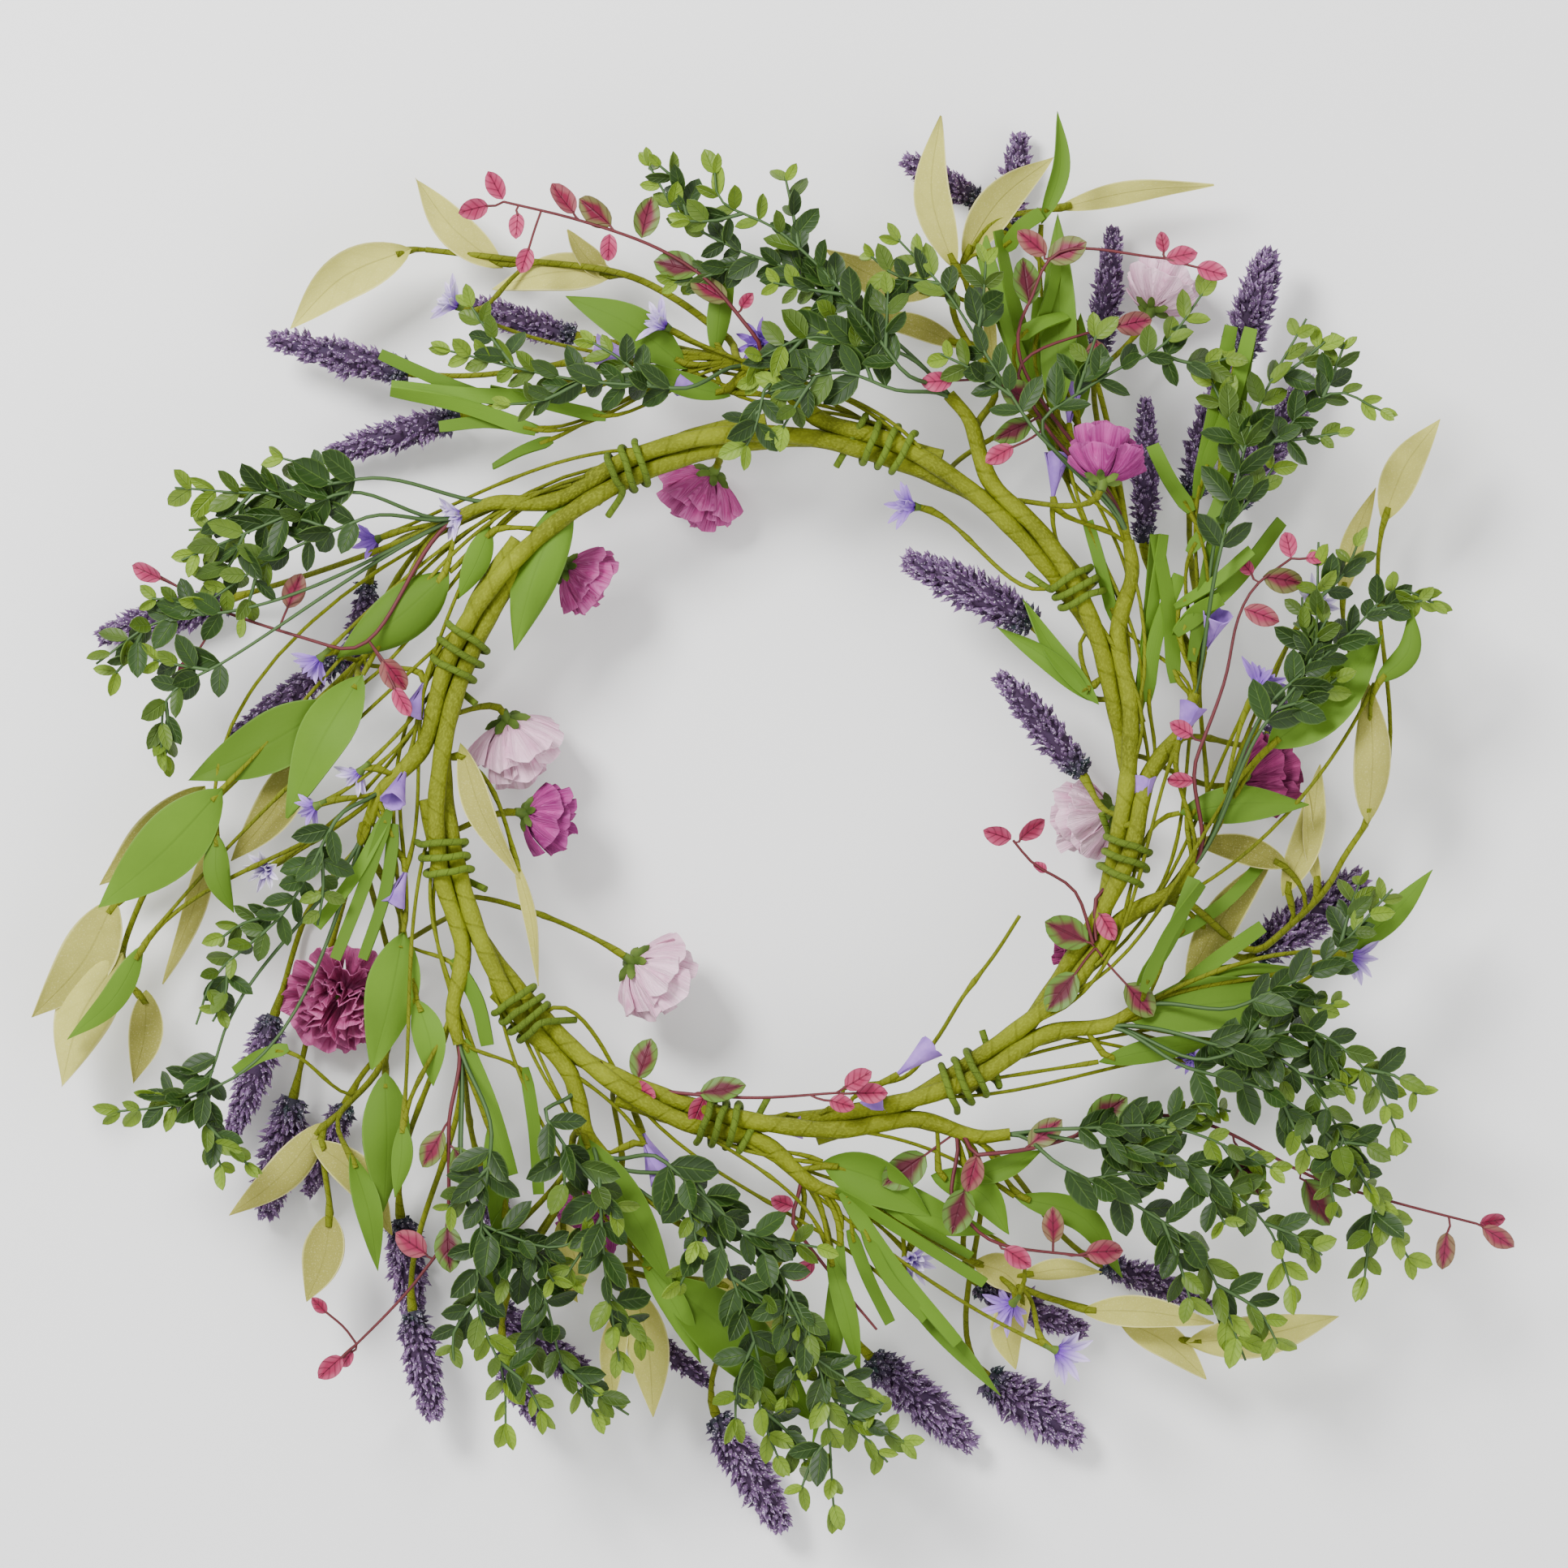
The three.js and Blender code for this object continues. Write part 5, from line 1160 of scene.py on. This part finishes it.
def grass_forms(node, root, row, rng, sizes):
    """A grass blade: one flat strip, straight or bent, cut off at its tip, on a thin stem."""
    foot, tip, width = np.array(row[0:2], float), np.array(row[2:4], float), row[4]
    ahead = unit(tip - foot)
    middle = (foot + tip) / 2 + np.array([-ahead[1], ahead[0]]) * rng.uniform(-3, 3)
    places = lifted(node, "green", [foot, middle, tip])
    places[:, 2] += rng.uniform(-3, 5) + np.array([0, rng.uniform(0, 4), rng.uniform(-3, 3)])
    line = Line(places)
    _, _, arriving, _ = line.frame(1.0)
    radius = 0.8 * sizes["thin_stem_radius"]
    stem = thin_stem(root(line.places[0]), line.at(5.0), arriving, radius, 1.4, rng)
    blade = leaf(line, width, "strip", (2, 14), sizes["leaf_thickness"], cup=rng.uniform(-0.1, 0.1),
                 roll=rng.uniform(-0.7, 0.7), twist=rng.uniform(-0.8, 0.8), shade=rng.random(),
                 finish="grass")
    return [stem, blade]


def head_forms(node, row, rng, count):
    """A lavender head from its row, foot, tip and width: a spindle in painted shade, thick with bud tips."""
    foot, tip, width = np.array(row[0:2], float), np.array(row[2:4], float), row[4]
    ends = lifted(node, "lavender", [foot, tip])
    ends[:, 2] = np.maximum(ends[:, 2], width / 2 - 1)
    straight = Line(ends)
    places = straight.at(straight.length * np.linspace(0, 1, 9))
    places += np.outer(np.sin(np.linspace(0, math.pi, 9)), rng.uniform(-1.2, 1.2, 3))
    line = Line(places, smooth=False)

    def outline(share):
        return np.sin(np.pi * np.clip(0.1 + 0.86 * share, 0, 1)) ** 0.55

    def thick(distance):
        return np.maximum(0.27 * width * outline(distance / line.length), 0.3)

    core = rod(line, thick, 10, 3.0, "lavender", 0.1)
    core.values["part"] = core.values["along"] / line.length
    # Along 0 gives the core the darkest tone of the buds' painted shade.
    core.values["along"] = np.zeros(len(core.corners))
    number = int(count * line.length * width / HEAD_AREA)
    whorls = max(number // WHORL, 4)
    spots = np.repeat(np.arange(whorls), WHORL)
    number = len(spots)
    around = np.tile(np.arange(WHORL), whorls)
    share = np.clip((spots + 0.5) / whorls + rng.normal(0, 0.012, number), 0, 0.98)
    turn = spots * GOLDEN_TURN + around * math.tau / WHORL + rng.normal(0, 0.3, number)
    place, right, ahead, top = line.frame(share * line.length)
    radial = right * np.cos(turn)[:, None] + top * np.sin(turn)[:, None]
    lean = 0.5 + 0.75 * share + rng.uniform(-0.25, 0.35, number)
    aim = radial * np.cos(lean)[:, None] + ahead * np.sin(lean)[:, None]
    aim = unit(aim + rng.normal(0, 0.3, (number, 3)))
    bases = place + radial * (0.22 * width * outline(share))[:, None]
    lengths = width * rng.uniform(0.17, 0.36, number) * (0.55 + 0.45 * outline(share))
    radii = rng.uniform(0.75, 1.3, number) * (width / HEAD_WIDTH) ** 0.5
    buds = scatter(bases, aim, lengths, radii, rng.random(number), share, "lavender")
    return line, [core, buds]


def lavender_forms(node, root, row, rng, sizes, count, dips=False):
    """A lavender head on its wrapped stem."""
    line, forms = head_forms(node, row, rng, count)
    foot = line.places[0]
    _, _, ahead, _ = line.frame(0.5)
    radius = 1.3 * sizes["thin_stem_radius"]
    return [*forms, thin_stem(root(foot), foot + ahead * 3, ahead, radius, 1.8, rng, dips)]


def spray_line(node, kind, root, places):
    """The line of a leafy spray, with the short way to it from its root, and the length of that way."""
    points = lifted(node, kind, places)
    start, leaving = root(points[0])
    arriving = unit(points[1] - points[0])
    way = sweep(start, leaving, points[0], arriving)
    leafy = Line(points)
    return Line(np.vstack([way.places[:-1], leafy.places]), smooth=False), way.length


def leafy_forms(line, bare, size, young, rng):
    """A thin stem with pairs of oval leaves that shrink and pale towards its tip."""
    forms = [rod(line, lambda d: 0.95 - 0.45 * d / line.length, 6, 5.0, "boxwood_stem", rng.random())]
    distance = bare + 2
    pair = 0
    while distance < line.length + 0.5:
        part = (distance - bare) / max(line.length - bare, 1)
        place, right, ahead, top = line.frame(min(distance, line.length))
        quarter = rng.uniform(-0.5, 0.5) + (0.9 if pair % 2 else 0.0)
        for side in (1, -1):
            if rng.random() < 0.06:
                continue
            aside = side * (right * math.cos(quarter) + top * math.sin(quarter))
            lean = rng.uniform(0.5, 1.05) if part < 0.93 else rng.uniform(0.15, 0.5)
            aim = unit(ahead * math.cos(lean) + aside * math.sin(lean) + rng.normal(0, 0.14, 3))
            long = size * (1.08 - 0.4 * part) * rng.uniform(0.78, 1.16)
            droop = UP * rng.uniform(-0.25, 0.14) * long
            ends = [place, place + aim * long * 0.5 + droop * 0.3, place + aim * long * 1.12 + droop]
            forms.append(leaf(Line(ends), long * rng.uniform(0.5, 0.66), "oval", (4, 6), 0.5,
                              cup=rng.uniform(0.1, 0.45), roll=rng.uniform(-0.8, 0.8), shade=rng.random(),
                              part=young + (1 - young) * part, finish="boxwood"))
        pair += 1
        distance += size * rng.uniform(0.56, 0.76)
    return forms


def boxwood_forms(node, root, size, places, rng):
    """A boxwood spray: a leafy stem, and side shoots by turns to its left and right."""
    line, bare = spray_line(node, "boxwood", root, places)
    forms = leafy_forms(line, bare, size, 0.0, rng)
    leafy = line.length - bare
    shoots = max(1, round(leafy / SHOOT_EACH))
    for shoot in range(shoots):
        distance = bare + leafy * (shoot + 0.35) / (shoots + 0.3)
        place, right, ahead, _ = line.frame(distance)
        side = 1 if (shoot + len(places)) % 2 else -1
        aim = unit(ahead + side * right * rng.uniform(0.45, 0.9) + UP * rng.uniform(-0.35, 0.2))
        reach = min(rng.uniform(20, 34), 0.45 * leafy)
        bend = right * side * reach * rng.uniform(-0.2, 0.05)
        ends = [place, place + aim * reach * 0.5 - bend * 0.3, place + aim * reach + bend]
        forms += leafy_forms(Line(ends), 3.0, 0.86 * size, 0.25, rng)
    return forms


def wine_forms(node, root, places, leaves, rng):
    """A wine-red spray: a thin dark stem, and round leaves on short stalks where the picture has them."""
    line, _ = spray_line(node, "wine", root, places)
    forms = [rod(line, lambda d: 0.95 - 0.4 * d / line.length, 6, 5.0, "wine_stem", rng.random())]
    for x, y, half in leaves:
        flat = np.linalg.norm(line.places[:, :2] - np.array([x, y]), axis=1)
        middle = np.array([x, y, line.places[flat.argmin(), 2] + rng.uniform(-2, 4)])
        reach = np.linalg.norm(line.places - middle, axis=1)
        joint = line.places[max(int(reach.argmin()) - (3 if reach.min() < half else 0), 0)]
        aim = middle - joint
        aim = unit(aim + unit(rng.normal(0, 1, 3)) * 0.15)
        foot = middle - aim * half
        stalk = foot - joint
        if np.linalg.norm(stalk) > 1.5:
            bent = (joint + foot) / 2 + rng.normal(0, 0.5, 3)
            forms.append(rod(Line([joint, bent, foot + aim]), 0.5, 5, 3.0, "wine_stem"))
        tip = middle + aim * half
        ends = [foot, middle + UP * rng.uniform(-0.5, 1.0), tip - UP * rng.uniform(0, 1.5)]
        big = min(max((half - 5) / 4, 0), 1)
        forms.append(leaf(Line(ends), half * rng.uniform(1.15, 1.4), "oval", (6, 9), 0.5,
                          cup=rng.uniform(0.05, 0.4), roll=rng.uniform(-0.6, 0.6), wave=0.25,
                          phase=rng.uniform(0, 6), shade=rng.random(), part=big * rng.uniform(0.7, 1),
                          finish="wine"))
    return forms


def flower_axis(node, row):
    """The top of a small flower's petals and the end of its calyx, from its row, with their heights."""
    middle, calyx = row[0:2], row[2:4]
    z = level(node, *middle, usual("green", *middle) + 3)
    calyx_z = level(node, *calyx, usual("green", *calyx))
    return np.array([*middle, z], float), np.array([*calyx, calyx_z], float)


def starry_forms(node, root, row, rng, sizes):
    """A starry flower: a green calyx and two whorls of narrow petals that open ahead."""
    top, foot = flower_axis(node, row)
    radius, white = row[4:6]
    ahead = unit(top - foot)
    side = unit(np.cross(ahead, UP + 0.1))
    other = np.cross(ahead, side)
    cup = Line([foot - ahead * 4, foot + ahead * 1.5])
    forms = [rod(cup, lambda d: 1.0 + 0.9 * (d / cup.length) ** 2, 7, 1.5, "calyx")]
    for petal in range(STAR_PETALS):
        inner = petal % 2
        turn = petal * math.tau / STAR_PETALS + rng.uniform(-0.12, 0.12)
        radial = side * math.cos(turn) + other * math.sin(turn)
        reach = radius * rng.uniform(0.85, 1.1) * (0.7 if inner else 1)
        bend = foot + ahead * (0.45 * reach) + radial * (0.22 + 0.1 * (1 - inner)) * reach
        end = foot + ahead * (0.75 + 0.35 * inner) * reach + radial * (0.85 - 0.45 * inner) * reach
        forms.append(leaf(Line([foot + ahead, bend, end]), radius * 0.26, "pointed", (2, 5), 0.3, cup=0.5,
                          shade=white * rng.uniform(0.6, 1), roll=rng.uniform(-0.8, 0.8), finish="star"))
    forms.append(thin_stem(root(foot), foot - ahead, ahead, sizes["thin_stem_radius"], 1.8, rng))
    return forms


def trumpet_forms(node, root, row, rng, sizes):
    """A trumpet flower: three soft petals folded round each other, on a wrapped stem."""
    end, foot = flower_axis(node, row)
    ahead = unit(end - foot)
    side = unit(np.cross(ahead, UP + 0.1))
    long = np.linalg.norm(end - foot) + 2.5
    forms = []
    for petal in range(3):
        reach, turn = 4.6 + rng.uniform(-0.5, 0.8), petal * 2.09 + rng.uniform(-0.3, 0.3)
        forms.append(cup_petal(foot, ahead, side, reach, long, turn, 1.25, 0.25, 1.0, rng.uniform(0, 6), 0.5,
                               "trumpet", (4, 8), swell=1.1, bend=0.85))
    forms.append(thin_stem(root(foot), foot + ahead, ahead, sizes["thin_stem_radius"], 1.7, rng))
    return forms


# Layers of a bloom's petals, outermost first: reach and depth in radii, number, and how wide for that number.
PETAL_LAYERS = {
    "side": ((1.0, 0.6, 7, 1.25), (0.88, 0.95, 6, 1.2), (0.62, 1.15, 5, 1.2), (0.36, 1.25, 4, 1.2)),
    "open": ((1.08, 0.1, 9, 0.95), (1.0, 0.32, 9, 0.95), (0.84, 0.55, 8, 1.0), (0.62, 0.75, 7, 1.1),
             (0.36, 0.9, 6, 1.3)),
}


def bloom_forms(root, row, rng, sizes):
    """A paper bloom: layers of ruffled petals in a bowl round its axis, and a calyx of narrow sepals."""
    radius, height, colour, pose = row[4:8]
    middle, calyx = np.array(row[0:2]), np.array(row[2:4])
    across = unit(np.array([*(middle - calyx), 0.0]))
    tilt = {"side": math.radians(-22), "open": math.radians(62)}[pose]
    ahead = across * math.cos(tilt) + UP * math.sin(tilt)
    centre = np.array([*middle, height + radius * (0.97 if pose == "side" else 0.5)])
    base = centre - ahead * radius * 0.62
    side = unit(np.cross(ahead, UP + 0.05))
    forms = []
    for layer, (reach, depth, count, wide) in enumerate(PETAL_LAYERS[pose]):
        for petal in range(count):
            turn = (petal + 0.5 * (layer % 2)) * math.tau / count + rng.uniform(-0.2, 0.2)
            long, deep = radius * reach * rng.uniform(0.84, 1.1), radius * depth * rng.uniform(0.82, 1.15)
            ruffle = radius * 0.06 * (1 + 0.4 * layer)
            forms.append(cup_petal(
                base, ahead, side, long, deep, turn, wide * math.pi / count, ruffle, rng.uniform(1.3, 2.6),
                rng.uniform(0, 6), sizes["petal_thickness"], f"bloom_{colour}", shade=rng.random()))
    for sepal in range(6):
        turn = sepal * math.tau / 6 + 0.2
        radial = side * math.cos(turn) + np.cross(ahead, side) * math.sin(turn)
        places = [base - ahead * 1.5, base - ahead * 0.6 + radial * 0.2 * radius,
                  base + ahead * 0.5 + radial * 0.5 * radius]
        forms.append(leaf(Line(places), radius * 0.2, "pointed", (2, 5), 0.5, cup=-0.2, finish="calyx"))
    forms.append(rod(Line([base - ahead * 5, base + ahead * 2]), lambda d: 1.5 + 0.16 * d, 8, 2.0, "calyx"))
    forms.append(thin_stem(root(base), base - ahead * 3, ahead, 1.2 * sizes["thin_stem_radius"], 1.5, rng))
    return forms


def runner_forms(pick, rng, sizes):
    """Thin wrapped stems that leave the ring well before the pick's end and run beside it to its flowers."""
    node, line = f"pick_{pick:02d}", RING_STEMS[pick]
    ways = [(row[0:2], row[2:4]) for row in rows_of(BRIGHT, pick)]
    ways += [(row[2:4], row[0:2]) for row in rows_of(STARRY, pick) + rows_of(TRUMPETS, pick)]
    open_blooms = [np.array(row[2:4]) for row in BLOOMS if row[-1] == "open"]
    forms = []
    for foot, aim in ways:
        start, _, ahead, _ = line.frame(line.length - rng.uniform(*RUNNER_START))
        outwards = unit((start - RING_CENTRE) * (1, 1, 0))
        start = start + outwards * 2.5 + UP * rng.uniform(-4, 3)
        end = np.array([*foot, level(node, *foot, usual("green", *foot))], float)
        if np.linalg.norm(end - start) < RUNNER_LEAST or (end - start) @ ahead < 10:
            continue
        arriving = unit(np.array([aim[0] - foot[0], aim[1] - foot[1], 0.0]))
        stem = thin_stem((start, unit(ahead + 0.35 * outwards)), end, arriving,
                         0.85 * sizes["thin_stem_radius"], 1.5, rng)
        gaps = [np.linalg.norm(stem.corners[:, :2] - bloom, axis=1).min() for bloom in open_blooms]
        if all(gap > BLOOM_CLEAR for gap in gaps):
            forms.append(stem)
    return forms


class WREATH_OT_picks(bpy.types.Operator):
    """Wrapped ring stems with their bright leaves, grass and small flowers"""

    bl_idname = "wreath.picks"
    bl_label = "Stems and green leaves"

    def execute(self, context):
        sizes = sizes_mm()
        inner = {pick: [] for pick in range(PICKS)}
        rng = rng_for("inner", 0)
        for angle, *row in INNER_BRIGHT:
            pick, root = ring_pick(angle), from_ring(angle, ROOTS["bright"])
            inner[pick] += leaf_forms(node_near(row), "green", root, row, 0.6, rng, sizes, "bright")
        for angle, *row in INNER_KHAKI:
            pick, root = ring_pick(angle), from_ring(angle, ROOTS["khaki"])
            inner[pick] += leaf_forms(f"pick_{pick:02d}", "green", root, row, row[6], rng, sizes, "khaki")
        for angle, *row in INNER_STARRY:
            pick, root = ring_pick(angle), from_ring(angle, ROOTS["starry"])
            inner[pick] += starry_forms(node_near(row), root, row, rng, sizes)
        for angle, *row in INNER_TRUMPETS:
            pick, root = ring_pick(angle), from_ring(angle, ROOTS["trumpet"])
            inner[pick] += trumpet_forms(node_near(row), root, row, rng, sizes)
        inner[ring_pick(TWIG[0])].append(bare_twig())
        for pick in range(PICKS):
            node = f"pick_{pick:02d}"
            rng = rng_for("pick", pick)
            root = from_pick(pick)
            forms = [thick_stem(pick, sizes)]
            for row in rows_of(BRIGHT, pick):
                forms += leaf_forms(node, "green", root, row, rng.random(), rng, sizes, "bright")
            for row in rows_of(GRASS, pick):
                forms += grass_forms(node, root, row, rng, sizes)
            for row in rows_of(STARRY, pick):
                forms += starry_forms(node, root, row, rng, sizes)
            for row in rows_of(TRUMPETS, pick):
                forms += trumpet_forms(node, root, row, rng, sizes)
            forms += runner_forms(pick, rng_for("runner", pick), sizes)
            add_piece(f"{node}_stems", forms + inner[pick], (node,))
        return {"FINISHED"}


class WREATH_OT_ties(bpy.types.Operator):
    """Paper wires wound round the ring"""

    bl_idname = "wreath.ties"
    bl_label = "Ties"

    def execute(self, context):
        sizes = sizes_mm()
        radius = TIE_RADIUS + sizes["wire_radius"]
        for number, angle in enumerate(TIES):
            rng = rng_for("tie", number)
            places = []
            slant, turns = rng.uniform(0.8, 1.5), TIE_TURNS + rng.uniform(0, 1)
            for i in range(int(TIE_SIDES * turns) + 1):
                shift = math.degrees((i / TIE_SIDES - turns / 2) * slant * TIE_PITCH / RING_RADIUS)
                there, out = angle + shift + rng.uniform(-0.2, 0.2), radius + rng.uniform(-0.5, 0.6)
                places.append(ring_point(there, out, i * 360 / TIE_SIDES))
            past, out, side = TIE_END
            places.append(ring_point(angle + past, radius + out, side))
            forms = [rod(Line(places), sizes["wire_radius"], 10, 1.8, "wire", number / len(TIES))]
            add_piece(f"tie_{number:02d}_wire", forms, (f"tie_{number:02d}",))
        return {"FINISHED"}


class WREATH_OT_lavender(bpy.types.Operator):
    """Lavender heads on their stems"""

    bl_idname = "wreath.lavender"
    bl_label = "Lavender"

    def execute(self, context):
        sizes = sizes_mm()
        count = context.scene.wreath_sizes.florets_per_head
        for pick in range(PICKS):
            rng = rng_for("lavender", pick)
            node, root = node_for("lavender", pick), from_pick(pick, True)
            forms = []
            for row in rows_of(LAVENDER, pick):
                forms += lavender_forms(node, root, row, rng, sizes, count, dips=pick == DIPPING_PICK)
            if forms:
                add_piece(f"lavender_{pick:02d}_heads", forms, (f"lavender_{pick:02d}",))
        for node, angle, *row in INNER_LAVENDER:
            rng = rng_for("lavender", angle)
            root = from_ring(angle, ROOTS["lavender"])
            forms = lavender_forms(node, root, row, rng, sizes, count)
            add_piece(f"{node}_head", forms, (node,))
        return {"FINISHED"}


class WREATH_OT_khaki(bpy.types.Operator):
    """Olive leaves on their wrapped stems"""

    bl_idname = "wreath.khaki"
    bl_label = "Khaki leaves"

    def execute(self, context):
        sizes = sizes_mm()
        for pick in range(PICKS):
            rng = rng_for("khaki", pick)
            node = node_for("khaki", pick)
            forms = []
            for line, _, _ in BRANCHES[pick][1:]:
                start, leaving = root_for(pick, line.places[0], True)
                _, _, ahead, _ = line.frame(0.5)
                way = sweep(start, leaving, line.places[0], ahead)
                stem = Line(np.vstack([way.places[:-1], line.places]), smooth=False)
                forms.append(
                    rod(stem, lambda d: 1.5 - 0.4 * d / stem.length, 8, 4.0, "thin_tape", rng.random()))
            for row in rows_of(KHAKI, pick):
                forms += leaf_forms(node, "khaki", from_pick(pick), row, row[6], rng, sizes, "khaki")
            if forms:
                add_piece(f"khaki_{pick:02d}_leaves", forms, (f"khaki_{pick:02d}",))
        return {"FINISHED"}


class WREATH_OT_boxwood(bpy.types.Operator):
    """Boxwood sprays with their oval leaves"""

    bl_idname = "wreath.boxwood"
    bl_label = "Boxwood"

    def execute(self, context):
        for pick in range(PICKS):
            rng = rng_for("boxwood", pick)
            node = node_for("boxwood", pick)
            forms = []
            for size, *places in rows_of(BOXWOOD, pick):
                forms += boxwood_forms(node, from_pick(pick, True), size, places, rng)
            if forms:
                add_piece(f"boxwood_{pick:02d}_sprays", forms, (f"boxwood_{pick:02d}",))
        return {"FINISHED"}


class WREATH_OT_wine(bpy.types.Operator):
    """Wine-red sprays with their round leaves"""

    bl_idname = "wreath.wine"
    bl_label = "Wine-red sprays"

    def execute(self, context):
        for pick in range(PICKS):
            rng = rng_for("wine", pick)
            node = node_for("wine", pick)
            forms = []
            for places, leaves in rows_of(WINE, pick):
                forms += wine_forms(node, from_pick(pick, True), places, leaves, rng)
            if forms:
                add_piece(f"wine_{pick:02d}_sprays", forms, (f"wine_{pick:02d}",))
        for number, (angle, places, leaves) in enumerate(INNER_WINE):
            rng = rng_for("wine", angle)
            node = node_near(places[1])
            forms = wine_forms(node, from_ring(angle, ROOTS["wine"]), places, leaves, rng)
            add_piece(f"wine_inner_{number}_spray", forms)
        return {"FINISHED"}


class WREATH_OT_blooms(bpy.types.Operator):
    """Paper blooms with their calyx and stem"""

    bl_idname = "wreath.blooms"
    bl_label = "Paper blooms"

    def execute(self, context):
        sizes = sizes_mm()
        for number, (name, angle, *row) in enumerate(BLOOMS):
            rng = rng_for("bloom", number)
            inside = math.hypot(row[0] - RING_CENTRE[0], row[1] - RING_CENTRE[1]) < RING_RADIUS
            side = ROOTS["bloom_inside" if inside else "bloom_outside"]
            forms = bloom_forms(from_ring(angle, side), row, rng, sizes)
            piece = f"{name or f'bloom_small_{number}'}_petals"
            add_piece(piece, forms, (name,) if name else ())
        return {"FINISHED"}


# Lights: name, place and size in metres, and power in watts.
LIGHTS = [("key_light", (-0.9, 0.9, 1.5), 0.6, 52.0), ("fill_light", (1.2, -0.6, 1.6), 1.4, 14.0)]
# Lens and sensor width in mm, and the strength of the white light all round.
LENS, SENSOR, SKY = 200.0, 36.0, 1.15


class WREATH_OT_stage(bpy.types.Operator):
    """Pale floor, soft lights and the camera straight above"""

    bl_idname = "wreath.stage"
    bl_label = "Floor, lights and camera"

    def execute(self, context):
        scene = context.scene
        bpy.ops.mesh.primitive_plane_add(size=6, location=(0, 0, 0))
        floor = context.object
        floor.name = "floor"
        paper = Finish("floor_paper", roughness=0.95)
        tone = paper.mix(paper.noise(3.0, 2.0), (0.9, 0.9, 0.9), (0.92, 0.92, 0.92))
        paper.set("Base Color", tone)
        floor.data.materials.append(paper.material)
        world = scene.world or bpy.data.worlds.new("studio")
        scene.world = world
        world.use_nodes = True
        world.node_tree.nodes["Background"].inputs[0].default_value = (1, 1, 1, 1)
        world.node_tree.nodes["Background"].inputs[1].default_value = SKY
        for name, place, size, power in LIGHTS:
            light = bpy.data.lights.new(name, "AREA")
            light.size = size
            light.energy = power
            lamp = bpy.data.objects.new(name, light)
            lamp.location = place
            lamp.rotation_euler = Vector(place).to_track_quat("Z", "Y").to_euler()
            scene.collection.objects.link(lamp)
        camera = bpy.data.cameras.new("camera")
        camera.lens, camera.sensor_width = LENS, SENSOR
        camera.clip_end = 20
        eye = bpy.data.objects.new("camera", camera)
        half = PHOTO_SIDE / 2
        x, y = (half - PHOTO_ORIGIN[0]) * PIXEL, (PHOTO_ORIGIN[1] - half) * PIXEL
        z = RING_CENTRE[2] + PHOTO_SIDE * PIXEL * LENS / SENSOR
        eye.location = (x * MM, y * MM, z * MM)
        scene.collection.objects.link(eye)
        scene.camera = eye
        return {"FINISHED"}


OPERATORS = (
    WREATH_OT_picks, WREATH_OT_ties, WREATH_OT_lavender, WREATH_OT_khaki, WREATH_OT_boxwood, WREATH_OT_wine,
    WREATH_OT_blooms, WREATH_OT_stage,
)


class VIEW3D_PT_wreath(bpy.types.Panel):
    """The wreath's pieces and settings"""

    bl_label = "Wreath"
    bl_space_type = "VIEW_3D"
    bl_region_type = "UI"
    bl_category = "Wreath"

    def draw(self, context):
        for operator in OPERATORS:
            self.layout.operator(operator.bl_idname)
        for group in (context.scene.wreath_sizes, context.scene.wreath_colours):
            for name in group.bl_rna.properties.keys():
                if name not in ("rna_type", "name"):
                    self.layout.prop(group, name)


CLASSES = (WreathSizes, WreathColours, *OPERATORS, VIEW3D_PT_wreath)


def register():
    for item in CLASSES:
        bpy.utils.register_class(item)
    bpy.types.Scene.wreath_sizes = bpy.props.PointerProperty(type=WreathSizes)
    bpy.types.Scene.wreath_colours = bpy.props.PointerProperty(type=WreathColours)


def unregister():
    del bpy.types.Scene.wreath_sizes
    del bpy.types.Scene.wreath_colours
    for item in reversed(CLASSES):
        bpy.utils.unregister_class(item)


def main():
    register()
    bpy.ops.wreath.picks()
    bpy.ops.wreath.ties()
    bpy.ops.wreath.lavender()
    bpy.ops.wreath.khaki()
    bpy.ops.wreath.boxwood()
    bpy.ops.wreath.wine()
    bpy.ops.wreath.blooms()
    bpy.ops.wreath.stage()


if __name__ == "__main__":
    main()
